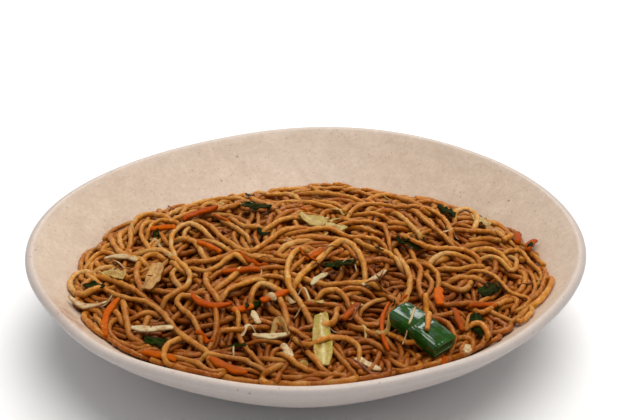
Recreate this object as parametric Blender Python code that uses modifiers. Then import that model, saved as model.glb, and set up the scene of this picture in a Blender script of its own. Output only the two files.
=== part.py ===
"""Yakisoba: fried noodles heaped with vegetables in the wide, unevenly round bowl that serves them."""

import math
import random

import bmesh
import bpy
import numpy as np
from mathutils import Vector
from mathutils.bvhtree import BVHTree

# Bowl, in metres. The rim's plan is a circle with low waves: how many, how high, and where the first crest is.
# At the front it is a little squarer: the angle of each shoulder in degrees, and how far it stands out
RIM_RADIUS = 0.1249
RIM_WAVES = ((2, 0.00735, 20.0), (3, 0.0011, 151.0), (4, 0.0020, -18.0))
RIM_SHOULDERS = ((226.0, 0.0036), (312.0, 0.0032))
SHOULDER_SPAN = 15.0
BOWL_HEIGHT = 0.050
WALL = 0.005
WALL_SWELL = 0.0022
WALL_POWER = 1.5
FOOT_RADIUS = 0.055
FOOT_HEIGHT = 0.003
FOOT_WIDTH = 0.0055
FOOT_RECESS = 0.002
FOOT_TAPER = 0.0007
SEGMENTS = 48
WALL_STEPS = 5

# Heap. Its edge is a share of the rim's radius, and it lies towards the front, at -Y
HEAP_EDGE = 0.82
HEAP_LEAN = 0.085
HEAP_SIDES = 0.012
HEAP_RAGGED = ((5, 0.010, 60.0), (9, 0.008, 10.0))
HEAP_TOP = 0.0505
HEAP_POWER = 0.9
HEAP_LUMP = 0.0011
LUMP_LENGTH = 0.052
LUMP_STARTS = (0.6, 1.9)
HEAP_SIDE_FACE = 0.002
HEAP_GAP = 0.0008
HEAP_UNDER_RINGS = (0.50, 0.78, 1.0)
HEAP_TOP_RINGS = (1.0, 0.93, 0.82, 0.66, 0.45, 0.22)

# Noodles that show. Each lies just over what is under it, and both of its ends dive into the heap
NOODLE_RADIUS = 0.00145
NOODLE_COUNT = 30
NOODLE_STEP = 0.0022
NOODLE_STEPS = 66
NOODLE_SHORTEST = 24
STEPS_PER_RING = 3
NOODLE_TRIES = 120
NOODLE_LIFT = 1.12
NOODLE_DIVE = 0.0021
DIVE_STEPS = 5
NOODLE_CLEAR = 0.0006
NOODLE_CONTACT = 0.8
NOODLE_SPREAD = 0.004
SWERVES = (0, 10, -10, 20, -20, 32, -32)
LOOK_AHEAD = (1, 2, 3)
CORNER_CUT = 0.0008
MOST_PILED = 0.0038
NOODLE_SEED = 14

# How a noodle winds, in radians of turn for each metre along it
WIND_DRIFT = 12.0
WIND_SWAY = (15.0, 55.0)
WIND_LENGTH = (0.035, 0.085)

# Height map of the heap
CELL = 0.001
SPOTS_TO_CORNER = (0.0, 0.25, 0.5, 0.75, 1.0)

# Toppings lie this far above what they rest on
TOPPING_GAP = 0.0005
GROUND_REACH = 0.0016
TOPPING_SEED = 5
RAGGED_WIDTH = 0.12
RIPPLES_ALONG = 7.0
RIPPLES_ACROSS = 5.0

# Spring onion: a flattened leafy tube, cut at both ends
ONION_PLACE = (0.050, -0.079)
ONION_HEADING = -46.0
ONION_DIP = 9.0
ONION_LENGTH = 0.026
ONION_WIDTH = 0.0135
ONION_HEIGHT = 0.0080
ONION_WALL = 0.0010
ONION_SIDES = 12
ONION_RINGS = 4
ONION_BEND = 0.0008
ONION_THINNER_SIDES = 0.25

# Each strip below: middle x and y, heading in degrees, length, bow to the left of the heading, width.
# Lengths are millimetres, and the number after the name is its place in the row.
CARROTS = (
    (-53, 29, 44, 22, 0.7, 3.6),
    (-70, 14, -7, 13, 0.0, 3.4),
    (-42, -54, -25, 20, -4.6, 3.6),
    (-28, -61, 24, 10, 0.0, 3.6),
    (-14, -51, 34, 15, -0.5, 3.4),
    (-86, -60, -96, 26, -2.9, 3.2),
    (-30, -31, 2, 18, 0.0, 3.2),
    (-46, -10, -40, 15, 0.7, 3.0),
    (4, -18, 45, 12, -0.5, 3.2),
    (-62, -91, -23, 16, 0.2, 3.4),
    (-33, -97, -27, 19, -1.3, 4.0),
    (60, -50, -91, 13, -0.5, 4.4),
    (36, -73, -93, 34, -3.1, 2.0),
    (67, -66, -79, 15, 0.0, 3.0),
    (79, -53, 14, 13, 0.8, 3.0),
    (20, -63, 60, 15, 0.0, 3.0),
    (104, 14, 80, 13, 0.0, 3.2),
    (110, 8, 66, 15, 0.6, 3.6),
)
CABBAGE_LEAVES = (
    (7, -82, -88, 34, 0.0, 8.5),
    (8, 12, -38, 27, -2.6, 9.0),
    (-90, -26, -38, 14, 1.9, 7.0),
    (-71, -32, -101, 21, 1.0, 7.5),
    (87, 30, -70, 15, 1.5, 7.0),
)
CABBAGE_RIBS = (
    (-67, -71, -7, 19, -0.9, 3.8),
    (-99, -45, -18, 19, -4.0, 3.4),
    (-88, -11, -24, 18, 3.0, 3.6),
    (-15, -78, 4, 16, -0.9, 3.2),
    (-22, -67, -70, 9, 0.0, 3.2),
    (-8, -88, -63, 9, 0.0, 3.6),
    (26, -98, -36, 13, 0.0, 3.2),
    (6, -39, 54, 12, 0.9, 3.0),
    (31, -38, 45, 16, 0.0, 2.8),
    (69, -86, -100, 10, 0.0, 3.6),
)
GREEN_LEAVES = (
    (-25, 34, -30, 16, -1.4, 7.0),
    (-98, -33, -28, 11, 0.0, 5.5),
    (-64, -82, -29, 13, 0.0, 5.5),
    (77, -69, -79, 18, -1.5, 6.5),
    (84, -38, 49, 15, 0.0, 7.0),
    (50, -5, -27, 15, -0.5, 7.5),
    (70, 40, -70, 12, 0.0, 5.0),
    (15, -27, 10, 13, 0.8, 5.0),
)

# Per kind: thickness, rings along, strips across, waviness, and how much narrower the ends are
CARROT_FORM = (0.0022, 5, 1, 0.0, 0.10)
LEAF_FORM = (0.0010, 6, 2, 0.0009, 0.45)
RIB_FORM = (0.0015, 4, 1, 0.0002, 0.25)
GREEN_FORM = (0.0008, 5, 2, 0.0009, 0.40)

STONEWARE = ("stoneware", (0.72, 0.62, 0.53), 0.55)
NOODLE = ("noodle", (0.55, 0.27, 0.07), 0.35)
CARROT = ("carrot", (0.70, 0.16, 0.02), 0.35)
CABBAGE = ("cabbage", (0.66, 0.62, 0.30), 0.40)
RIB = ("cabbage_rib", (0.78, 0.73, 0.58), 0.40)
GREEN = ("green_leaf", (0.03, 0.09, 0.02), 0.35)


def clear_scene():
    for thing in list(bpy.data.objects):
        bpy.data.objects.remove(thing, do_unlink=True)


def material(finish):
    name, colour, roughness = finish
    made = bpy.data.materials.get(name)
    if made:
        return made
    made = bpy.data.materials.new(name)
    made.use_nodes = True
    shader = made.node_tree.nodes["Principled BSDF"]
    shader.inputs["Base Color"].default_value = (*colour, 1.0)
    shader.inputs["Roughness"].default_value = roughness
    shader.inputs["Metallic"].default_value = 0.0
    return made


def link(name, data, collection, finish=None):
    thing = bpy.data.objects.new(name, data)
    collection.objects.link(thing)
    if finish:
        data.materials.append(material(finish))
    return thing


def apply_modifiers(thing):
    """The object's mesh with its modifiers worked in."""
    bpy.context.view_layer.update()
    graph = bpy.context.evaluated_depsgraph_get()
    mesh = bpy.data.meshes.new_from_object(thing.evaluated_get(graph))
    thing.modifiers.clear()
    thing.data = mesh
    return mesh


def smooth(thing):
    thing.data.shade_smooth()
    thing.data.set_sharp_from_angle(angle=math.radians(40))


def waves(theta, table):
    return sum(high * math.cos(count * theta - math.radians(turn)) for count, high, turn in table)


def shoulders(theta):
    """How far the squarer front stands out from the waves, at this angle."""
    total = 0.0
    for place, high in RIM_SHOULDERS:
        off = (math.degrees(theta) - place + 180.0) % 360.0 - 180.0
        total += high * math.exp(-((off / SHOULDER_SPAN) ** 2))
    return total


def stretch(theta):
    """How much further out than a circle the plan lies, at this angle."""
    return 1.0 + (waves(theta, RIM_WAVES) + shoulders(theta)) / RIM_RADIUS


def plan_centre():
    """Middle of the box round the rim's plan, which is moved onto the origin."""
    angles = [math.tau * i / SEGMENTS for i in range(SEGMENTS)]
    xs = [stretch(a) * RIM_RADIUS * math.cos(a) for a in angles]
    ys = [stretch(a) * RIM_RADIUS * math.sin(a) for a in angles]
    return (min(xs) + max(xs)) / 2, (min(ys) + max(ys)) / 2


CENTRE_X, CENTRE_Y = plan_centre()


def to_plan(theta, radius):
    reach = radius * stretch(theta)
    return reach * math.cos(theta) - CENTRE_X, reach * math.sin(theta) - CENTRE_Y


def from_plan(x, y):
    """Angle, and the radius that this point would have in a round bowl."""
    theta = math.atan2(y + CENTRE_Y, x + CENTRE_X)
    return theta, math.hypot(x + CENTRE_X, y + CENTRE_Y) / stretch(theta)


def wall_line(t):
    """Radius, height and slope on the middle of the wall, from the foot at 0 to the lip at 1."""
    run = RIM_RADIUS - WALL / 2 - FOOT_RADIUS
    rise = BOWL_HEIGHT - FOOT_HEIGHT - WALL
    radius = FOOT_RADIUS + run * t
    height = FOOT_HEIGHT + WALL / 2 + rise * t**WALL_POWER
    slope = math.atan2(rise * WALL_POWER * t ** (WALL_POWER - 1), run)
    return radius, height, slope


def wall_point(t, inwards):
    radius, height, slope = wall_line(t)
    return radius - inwards * math.sin(slope), height + inwards * math.cos(slope)


def outer_point(t):
    """The wall's outside, which swells a little between the foot and the lip."""
    return wall_point(t, -WALL / 2 - WALL_SWELL * math.sin(math.pi * t**WALL_POWER))


def lip_points(count):
    """The rounded lip, from the inside of the wall over to the outside."""
    radius, height, slope = wall_line(1.0)
    half = WALL / 2
    points = []
    for i in range(1, count + 1):
        turn = slope + math.pi / 2 - math.pi * i / (count + 1)
        points.append((radius + half * math.cos(turn), height + half * math.sin(turn)))
    return points


def bowl_profile():
    """Half section, from the middle of the floor over the lip and down the outside."""
    steps = [i / WALL_STEPS for i in range(WALL_STEPS + 1)]
    inside = [wall_point(t, WALL / 2) for t in steps]
    outside = [outer_point(t) for t in reversed(steps)]
    floor = (0.0, FOOT_HEIGHT + WALL)
    foot_in = FOOT_RADIUS - FOOT_WIDTH
    foot = [
        (FOOT_RADIUS - FOOT_TAPER, 0.0),
        (foot_in, 0.0),
        (foot_in - FOOT_TAPER, FOOT_RECESS),
        (0.0, FOOT_RECESS),
    ]
    return [floor, *inside, *lip_points(2), *outside, *foot]


def turned(name, profile, collection, finish):
    """A profile turned about Z, as one mesh."""
    mesh = bpy.data.meshes.new(name)
    edges = [(i, i + 1) for i in range(len(profile) - 1)]
    mesh.from_pydata([(radius, 0.0, height) for radius, height in profile], edges, [])
    thing = link(name, mesh, collection, finish)
    screw = thing.modifiers.new("turn", "SCREW")
    screw.steps = SEGMENTS
    screw.render_steps = SEGMENTS
    screw.use_merge_vertices = True
    screw.merge_threshold = 0.00001
    apply_modifiers(thing)
    return thing


def make_bowl(collection):
    bowl = turned("bowl", bowl_profile(), collection, STONEWARE)
    for vertex in bowl.data.vertices:
        theta = math.atan2(vertex.co.y, vertex.co.x)
        x, y = to_plan(theta, math.hypot(vertex.co.x, vertex.co.y))
        vertex.co = Vector((x, y, vertex.co.z))
    smooth(bowl)
    return bowl


INNER_WALL = [wall_point(i / 100, WALL / 2) for i in range(101)]
WALL_SLOPE = wall_line(1.0)[2]


def inner_height(radius):
    """Height of the bowl's inside at a radius of the round bowl."""
    radii = [point[0] for point in INNER_WALL]
    heights = [point[1] for point in INNER_WALL]
    return float(np.interp(radius, radii, heights))


def heap_edge(theta):
    """Radius at which the heap meets the wall, in the round bowl."""
    share = HEAP_EDGE - HEAP_LEAN * math.sin(theta) + HEAP_SIDES * math.cos(2 * theta)
    return (share + waves(theta, HEAP_RAGGED)) * RIM_RADIUS


def heap_height(x, y):
    """Top of the bare heap, below the noodles that show."""
    theta, radius = from_plan(x, y)
    edge = heap_edge(theta)
    low = inner_height(edge) + HEAP_GAP + HEAP_SIDE_FACE
    swell = max(0.0, 1.0 - (radius / edge) ** 2) ** HEAP_POWER
    lump = math.sin(math.tau * x / LUMP_LENGTH + LUMP_STARTS[0])
    lump *= math.sin(math.tau * y / LUMP_LENGTH + LUMP_STARTS[1])
    return low + (HEAP_TOP - low) * swell + HEAP_LUMP * lump * swell


def make_core(collection):
    """The bare heap: turned as a lens of unit radius, then set to the wall below and the heap above."""
    under = [(share, 0.0) for share in HEAP_UNDER_RINGS]
    over = [(share, 1.0) for share in HEAP_TOP_RINGS]
    profile = [(0.0, 1.0), *reversed(over), *reversed(under), (0.0, 0.0)]
    core = turned("noodles", profile, collection, NOODLE)
    for vertex in core.data.vertices:
        theta = math.atan2(vertex.co.y, vertex.co.x)
        radius = math.hypot(vertex.co.x, vertex.co.y) * heap_edge(theta)
        x, y = to_plan(theta, radius)
        if vertex.co.z > 0.5:
            z = heap_height(x, y)
        else:
            z = inner_height(radius) + HEAP_GAP
        vertex.co = Vector((x, y, z))
    return core


def tree_of(thing):
    return BVHTree.FromPolygons(
        [vertex.co for vertex in thing.data.vertices],
        [tuple(polygon.vertices) for polygon in thing.data.polygons],
    )


def top_of(tree, x, y):
    """Highest point of a surface over this place, or None."""
    hit = tree.ray_cast(Vector((x, y, 1.0)), Vector((0.0, 0.0, -1.0)))
    return None if hit[0] is None else hit[0].z


class Ground:
    """What a topping rests on: the bare heap, or the bowl's wall beyond it."""

    def __init__(self, core, bowl):
        self.trees = (tree_of(core), tree_of(bowl))

    def height(self, x, y):
        heights = [top_of(tree, x, y) for tree in self.trees]
        return max(height for height in heights if height is not None)

    def highest_near(self, x, y, reach):
        around = [(0, 0), (reach, 0), (-reach, 0), (0, reach), (0, -reach)]
        return max(self.height(x + dx, y + dy) for dx, dy in around)


def strip_line(row, t):
    """Plan place and leftward direction at a share of a strip's length."""
    x, y, heading, length, bow, _ = row
    turn = math.radians(heading)
    ahead = np.array([math.cos(turn), math.sin(turn)])
    left = np.array([-ahead[1], ahead[0]])
    curve = bow * (1.0 - (2.0 * t - 1.0) ** 2)
    place = np.array([x, y]) + ahead * length * (t - 0.5) + left * curve
    return place / 1000.0, left


def make_strip(name, row, form, ground, rng, collection, finish):
    """A cut strip or torn leaf: a ribbon over the heap, thickened upwards."""
    thickness, along, across, wave, taper = form
    phase = rng.uniform(0.0, math.tau)
    vertices = []
    for i in range(along + 1):
        t = i / along
        place, left = strip_line(row, t)
        end = abs(2.0 * t - 1.0) ** 3
        ragged = 1.0 + rng.uniform(-RAGGED_WIDTH, RAGGED_WIDTH) * taper
        width = row[5] / 1000.0 * (1.0 - taper * end) * ragged
        for j in range(across + 1):
            side = j / across - 0.5
            x, y = place + left * width * side
            ripple = wave * (1.0 + math.sin(phase + RIPPLES_ALONG * t + RIPPLES_ACROSS * side))
            z = ground.highest_near(x, y, GROUND_REACH) + TOPPING_GAP + ripple
            vertices.append((x, y, z))
    faces = []
    for i in range(along):
        for j in range(across):
            a = i * (across + 1) + j
            b = a + across + 1
            faces.append((a, b, b + 1))
            faces.append((a, b + 1, a + 1))
    mesh = bpy.data.meshes.new(name)
    mesh.from_pydata(vertices, [], faces)
    strip = link(name, mesh, collection, finish)
    solid = strip.modifiers.new("thickness", "SOLIDIFY")
    solid.thickness = thickness
    solid.offset = 1.0
    apply_modifiers(strip)
    return strip


def make_spring_onion(ground, collection):
    """A flattened tube that dips a little along its heading, open at both cut ends."""
    build = bmesh.new()
    bmesh.ops.create_cone(
        build, cap_ends=False, segments=ONION_SIDES, radius1=1.0, radius2=1.0, depth=1.0
    )
    long_edges = [edge for edge in build.edges if abs(edge.verts[0].co.z - edge.verts[1].co.z) > 0.5]
    bmesh.ops.subdivide_edges(build, edges=long_edges, cuts=ONION_RINGS - 1)
    turn = math.radians(ONION_HEADING)
    ahead = Vector((math.cos(turn), math.sin(turn), 0.0))
    left = Vector((-ahead.y, ahead.x, 0.0))
    middle = Vector((*ONION_PLACE, 0.0))
    shape = {}
    for vertex in build.verts:
        across, up, t = vertex.co.x, vertex.co.y, vertex.co.z
        flat = ahead * (t * ONION_LENGTH) + left * (across * ONION_WIDTH / 2)
        lift = up * ONION_HEIGHT / 2 * (1.0 - ONION_THINNER_SIDES * across * across)
        bend = ONION_BEND * (1.0 - 4.0 * t * t)
        fall = t * ONION_LENGTH * math.tan(math.radians(ONION_DIP))
        shape[vertex] = (middle + flat, lift + bend - fall)
    rest = max(
        ground.height(place.x, place.y) - lift for place, lift in shape.values()
    )
    for vertex, (place, lift) in shape.items():
        vertex.co = place + Vector((0.0, 0.0, rest + lift + ONION_WALL + TOPPING_GAP))
    bmesh.ops.recalc_face_normals(build, faces=build.faces)
    mesh = bpy.data.meshes.new("spring_onion")
    build.to_mesh(mesh)
    build.free()
    tube = link("spring_onion", mesh, collection, GREEN)
    solid = tube.modifiers.new("wall", "SOLIDIFY")
    solid.thickness = ONION_WALL
    solid.offset = -1.0
    apply_modifiers(tube)
    smooth(tube)
    return tube


def make_toppings(ground, collection):
    rng = random.Random(TOPPING_SEED)
    kinds = (
        ("carrot", CARROTS, CARROT_FORM, CARROT),
        ("cabbage_leaf", CABBAGE_LEAVES, LEAF_FORM, CABBAGE),
        ("cabbage_rib", CABBAGE_RIBS, RIB_FORM, RIB),
        ("green_leaf", GREEN_LEAVES, GREEN_FORM, GREEN),
    )
    toppings = [make_spring_onion(ground, collection)]
    for kind, rows, form, finish in kinds:
        for number, row in enumerate(rows, 1):
            name = f"{kind}_{number:02d}"
            toppings.append(make_strip(name, row, form, ground, rng, collection, finish))
    return toppings


class Relief:
    """A height map over the heap, of the surface that the next noodle lies on."""

    def __init__(self):
        self.half = RIM_RADIUS * 1.1
        self.size = int(2 * self.half / CELL) + 1
        axis = (np.arange(self.size) * CELL) - self.half
        self.x, self.y = np.meshgrid(axis, axis, indexing="ij")
        self.height = np.zeros((self.size, self.size))
        self.inside = np.zeros((self.size, self.size), bool)
        self.deep = np.zeros((self.size, self.size), bool)
        self.taken = np.zeros((self.size, self.size), bool)
        self.covered = np.zeros((self.size, self.size), bool)

    def index(self, x, y):
        last = self.size - 1
        i = int((x + self.half) / CELL + 0.5)
        j = int((y + self.half) / CELL + 0.5)
        return min(max(i, 0), last), min(max(j, 0), last)

    def around(self, x, y, reach):
        i, j = self.index(x, y)
        n = int(reach / CELL) + 1
        return slice(max(0, i - n), i + n + 1), slice(max(0, j - n), j + n + 1)

    def near(self, x, y, reach):
        """The cells round a place, and which of them are within reach of it."""
        window = self.around(x, y, reach)
        close = np.hypot(self.x[window] - x, self.y[window] - y) <= reach
        return window, close

    def lay_heap(self):
        for i in range(self.size):
            for j in range(self.size):
                x, y = self.x[i, j], self.y[i, j]
                theta, radius = from_plan(x, y)
                if radius > heap_edge(theta):
                    continue
                self.height[i, j] = heap_height(x, y)
                wall = inner_height(radius)
                middle = self.height[i, j] + NOODLE_RADIUS * NOODLE_LIFT
                away = (middle - wall) * math.cos(WALL_SLOPE)
                self.inside[i, j] = away > NOODLE_RADIUS + NOODLE_CLEAR
                depth = self.height[i, j] - NOODLE_DIVE - wall
                self.deep[i, j] = depth * math.cos(WALL_SLOPE) > NOODLE_RADIUS + NOODLE_CLEAR

    def lay_topping(self, thing):
        """Marks the plan of a topping, and a noodle's half width round it, as taken."""
        reach = NOODLE_RADIUS + NOODLE_CLEAR + CELL + CORNER_CUT
        for polygon in thing.data.polygons:
            corners = [thing.data.vertices[i].co for i in polygon.vertices]
            middle = sum(corners, Vector()) / len(corners)
            for corner in corners:
                for t in SPOTS_TO_CORNER:
                    spot = middle.lerp(corner, t)
                    window, close = self.near(spot.x, spot.y, reach)
                    self.taken[window] |= close

    def free(self, x, y):
        """Whether a noodle can lie here: inside the bowl, off the toppings, and not on a pile."""
        i, j = self.index(x, y)
        piled = self.height[i, j] > heap_height(x, y) + MOST_PILED
        return self.inside[i, j] and not self.taken[i, j] and not piled

    def lay_noodle(self, points):
        for x, y, z in points:
            window, close = self.near(x, y, NOODLE_SPREAD)
            self.covered[window] |= close
            window, close = self.near(x, y, NOODLE_RADIUS)
            away = np.hypot(self.x[window] - x, self.y[window] - y)
            dome = z + np.sqrt(np.maximum(0.0, NOODLE_RADIUS**2 - away**2))
            self.height[window] = np.where(close, np.maximum(self.height[window], dome), self.height[window])

    def under(self, x, y):
        """Highest surface below a noodle at this place."""
        window, close = self.near(x, y, NOODLE_RADIUS * NOODLE_CONTACT)
        return float(self.height[window][close].max())


def steer(x, y, heading, relief):
    """The heading nearest to the wished one that has free heap ahead, or None."""
    for swerve in SWERVES:
        turn = heading + math.radians(swerve)
        step_x = math.cos(turn) * NOODLE_STEP
        step_y = math.sin(turn) * NOODLE_STEP
        if all(relief.free(x + step_x * n, y + step_y * n) for n in LOOK_AHEAD):
            return turn
    return None


def wander(rng, relief):
    """Plan of one noodle: a walk whose turning rises and falls, and which goes round toppings and wall."""
    theta = rng.uniform(0.0, math.tau)
    radius = heap_edge(theta) * math.sqrt(rng.random())
    x, y = to_plan(theta, radius)
    heading = rng.uniform(0.0, math.tau)
    drift = rng.gauss(0.0, WIND_DRIFT)
    sway = rng.uniform(*WIND_SWAY)
    wave_length = rng.uniform(*WIND_LENGTH)
    phase = rng.uniform(0.0, math.tau)
    path = []
    if not relief.free(x, y):
        return path
    for step in range(NOODLE_STEPS + 1):
        path.append((x, y))
        turn = drift + sway * math.sin(phase + math.tau * step * NOODLE_STEP / wave_length)
        heading = steer(x, y, heading + turn * NOODLE_STEP, relief)
        if heading is None:
            break
        x += math.cos(heading) * NOODLE_STEP
        y += math.sin(heading) * NOODLE_STEP
    while path and not relief.deep[relief.index(*path[0])]:
        path.pop(0)
    while path and not relief.deep[relief.index(*path[-1])]:
        path.pop()
    return path


def fresh_ground(path, relief):
    """How many places of a walk lie where no noodle is yet."""
    count = 0
    for x, y in path:
        count += not relief.covered[relief.index(x, y)]
    return count


def pick_noodle(rng, relief):
    """Of many walks, the one that covers most bare heap."""
    best, most = None, 0
    for _ in range(NOODLE_TRIES):
        path = wander(rng, relief)
        if len(path) < NOODLE_SHORTEST:
            continue
        fresh = fresh_ground(path, relief)
        if fresh > most:
            best, most = path, fresh
    return best


def drape(path, relief):
    """Heights along a noodle: over what is there, eased so that it doesn't kink, and down at the ends."""
    rest = [relief.under(x, y) + NOODLE_RADIUS * NOODLE_LIFT for x, y in path]
    last = len(rest) - 1
    high = [max(rest[max(0, i - 2) : i + 3]) for i in range(last + 1)]
    points = []
    for i, (x, y) in enumerate(path):
        near = high[max(0, i - 3) : i + 4]
        z = max(high[i], sum(near) / len(near))
        share = min(1.0, min(i, last - i) / DIVE_STEPS)
        rise = share * share * (3.0 - 2.0 * share)
        low = heap_height(x, y) - NOODLE_DIVE
        points.append((x, y, low + (z - low) * rise))
    return points


def noodle_mesh(name, points, collection):
    """A round tube along the points, closed at both ends."""
    curve = bpy.data.curves.new(name, "CURVE")
    curve.dimensions = "3D"
    curve.bevel_depth = NOODLE_RADIUS
    curve.bevel_resolution = 1
    curve.use_fill_caps = True
    rings = points[::STEPS_PER_RING]
    if (len(points) - 1) % STEPS_PER_RING:
        rings[-1] = points[-1]
    line = curve.splines.new("POLY")
    line.points.add(len(rings) - 1)
    for point, place in zip(line.points, rings):
        point.co = (*place, 1.0)
    guide = bpy.data.objects.new(name, curve)
    collection.objects.link(guide)
    bpy.context.view_layer.update()
    graph = bpy.context.evaluated_depsgraph_get()
    mesh = bpy.data.meshes.new_from_object(guide.evaluated_get(graph))
    bpy.data.objects.remove(guide, do_unlink=True)
    build = bmesh.new()
    build.from_mesh(mesh)
    bmesh.ops.remove_doubles(build, verts=build.verts, dist=0.000005)
    bmesh.ops.recalc_face_normals(build, faces=build.faces)
    build.to_mesh(mesh)
    build.free()
    return link(name, mesh, collection)


def lay_noodles(relief, collection):
    rng = random.Random(NOODLE_SEED)
    for number in range(1, NOODLE_COUNT + 1):
        path = pick_noodle(rng, relief)
        if path is None:
            break
        points = drape(path, relief)
        relief.lay_noodle(points)
        noodle_mesh(f"noodle_{number:02d}", points, collection)


def shells(build):
    """The mesh's separate surfaces, each as a list of faces."""
    waiting = set(build.faces)
    found = []
    while waiting:
        edge_of = [waiting.pop()]
        shell = list(edge_of)
        while edge_of:
            face = edge_of.pop()
            for edge in face.edges:
                for other in edge.link_faces:
                    if other in waiting:
                        waiting.remove(other)
                        shell.append(other)
                        edge_of.append(other)
        found.append(shell)
    return found


def keep_largest_shell(mesh):
    """Fills hollows that the joining sealed, and drops loose scraps."""
    build = bmesh.new()
    build.from_mesh(mesh)
    bmesh.ops.triangulate(build, faces=build.faces)
    found = sorted(shells(build), key=len)
    spare = [face for shell in found[:-1] for face in shell]
    bmesh.ops.delete(build, geom=spare, context="FACES")
    build.to_mesh(mesh)
    build.free()


def join_noodles(core, pieces):
    join = core.modifiers.new("join", "BOOLEAN")
    join.operation = "UNION"
    join.operand_type = "COLLECTION"
    join.collection = pieces
    join.solver = "MANIFOLD"
    mesh = apply_modifiers(core)
    for thing in list(pieces.objects):
        bpy.data.objects.remove(thing, do_unlink=True)
    bpy.data.collections.remove(pieces)
    keep_largest_shell(mesh)


def main():
    clear_scene()
    dish = bpy.data.collections.new("yakisoba")
    bpy.context.scene.collection.children.link(dish)
    pieces = bpy.data.collections.new("loose_noodles")
    bpy.context.scene.collection.children.link(pieces)
    bowl = make_bowl(dish)
    core = make_core(dish)
    ground = Ground(core, bowl)
    toppings = make_toppings(ground, dish)
    relief = Relief()
    relief.lay_heap()
    for topping in toppings:
        relief.lay_topping(topping)
    lay_noodles(relief, pieces)
    join_noodles(core, pieces)


main()
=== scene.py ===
import math

import bpy
import numpy as np
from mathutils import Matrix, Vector
from mathutils.bvhtree import BVHTree


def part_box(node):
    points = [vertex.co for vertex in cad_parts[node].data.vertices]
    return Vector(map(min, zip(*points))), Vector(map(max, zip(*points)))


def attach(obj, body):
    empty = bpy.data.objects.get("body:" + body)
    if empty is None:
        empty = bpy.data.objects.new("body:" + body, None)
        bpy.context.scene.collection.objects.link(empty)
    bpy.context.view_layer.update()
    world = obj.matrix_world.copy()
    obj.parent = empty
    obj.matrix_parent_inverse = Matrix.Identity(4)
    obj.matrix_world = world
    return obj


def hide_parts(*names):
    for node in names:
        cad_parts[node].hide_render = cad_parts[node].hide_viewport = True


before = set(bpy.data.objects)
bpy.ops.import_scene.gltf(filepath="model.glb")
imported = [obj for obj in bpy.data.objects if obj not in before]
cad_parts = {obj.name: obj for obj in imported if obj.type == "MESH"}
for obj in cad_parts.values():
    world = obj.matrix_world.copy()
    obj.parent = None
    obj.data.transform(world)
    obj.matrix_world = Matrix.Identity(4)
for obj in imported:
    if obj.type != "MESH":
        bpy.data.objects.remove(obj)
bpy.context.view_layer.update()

# Bowl and bare heap, in metres, as in the part
RIM_RADIUS = 0.1249
RIM_WAVES = ((2, 0.00735, 20.0), (3, 0.0011, 151.0), (4, 0.0020, -18.0))
RIM_SHOULDERS = ((226.0, 0.0036), (312.0, 0.0032))
SHOULDER_SPAN = 15.0
BOWL_HEIGHT = 0.050
WALL = 0.005
WALL_SWELL = 0.0022
WALL_POWER = 1.5
FOOT_RADIUS = 0.055
FOOT_HEIGHT = 0.003
FOOT_WIDTH = 0.0055
FOOT_RECESS = 0.002
FOOT_TAPER = 0.0007
PLAN_SEGMENTS = 48
HEAP_EDGE = 0.82
HEAP_LEAN = 0.085
HEAP_SIDES = 0.012
HEAP_RAGGED = ((5, 0.010, 60.0), (9, 0.008, 10.0))
HEAP_TOP = 0.0505
HEAP_POWER = 0.9
HEAP_LUMP = 0.0011
LUMP_LENGTH = 0.052
LUMP_STARTS = (0.6, 1.9)
HEAP_SIDE_FACE = 0.002
HEAP_GAP = 0.0008
NOODLE_RADIUS = 0.00145

# Camera: the photograph's frame in pixels, focal length in pixels, and its place
FRAME_WIDTH = 621
FRAME_HEIGHT = 420
FOCAL_PIXELS = 1370.0
SENSOR = 36.0
CLIP_START = 0.01
CAMERA_TARGET = np.array([0.002, 0.026, 0.050])
CAMERA_ELEVATION = math.radians(30.0)
CAMERA_DISTANCE = 0.680
RAY_REACH = (0.45, 0.85)
RAY_STEPS = 400


def waves(theta, table):
    return sum(high * np.cos(count * theta - math.radians(turn)) for count, high, turn in table)


def shoulders(theta):
    """How far the squarer front stands out from the waves, at each angle."""
    total = 0.0
    for place, high in RIM_SHOULDERS:
        off = (np.degrees(theta) - place + 180.0) % 360.0 - 180.0
        total = total + high * np.exp(-((off / SHOULDER_SPAN) ** 2))
    return total


def stretch(theta):
    return 1.0 + (waves(theta, RIM_WAVES) + shoulders(theta)) / RIM_RADIUS


def plan_centre():
    angles = np.arange(PLAN_SEGMENTS) * math.tau / PLAN_SEGMENTS
    xs = stretch(angles) * RIM_RADIUS * np.cos(angles)
    ys = stretch(angles) * RIM_RADIUS * np.sin(angles)
    return (xs.min() + xs.max()) / 2, (ys.min() + ys.max()) / 2


CENTRE_X, CENTRE_Y = plan_centre()


def to_plan(theta, radius):
    reach = radius * stretch(theta)
    return reach * np.cos(theta) - CENTRE_X, reach * np.sin(theta) - CENTRE_Y


def from_plan(x, y):
    """Angle, and the radius that each point would have in a round bowl."""
    theta = np.arctan2(y + CENTRE_Y, x + CENTRE_X)
    return theta, np.hypot(x + CENTRE_X, y + CENTRE_Y) / stretch(theta)


def wall_line(t):
    run = RIM_RADIUS - WALL / 2 - FOOT_RADIUS
    rise = BOWL_HEIGHT - FOOT_HEIGHT - WALL
    radius = FOOT_RADIUS + run * t
    height = FOOT_HEIGHT + WALL / 2 + rise * t**WALL_POWER
    slope = np.arctan2(rise * WALL_POWER * t ** (WALL_POWER - 1), run)
    return radius, height, slope


def wall_point(t, inwards):
    radius, height, slope = wall_line(t)
    return radius - inwards * np.sin(slope), height + inwards * np.cos(slope)


WALL_SHARES = np.linspace(0.0, 1.0, 201)
INNER_RADII, INNER_HEIGHTS = wall_point(WALL_SHARES, WALL / 2)
INNER_SLOPES = wall_line(WALL_SHARES)[2]


def inner_height(radius):
    return np.interp(radius, INNER_RADII, INNER_HEIGHTS)


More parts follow.
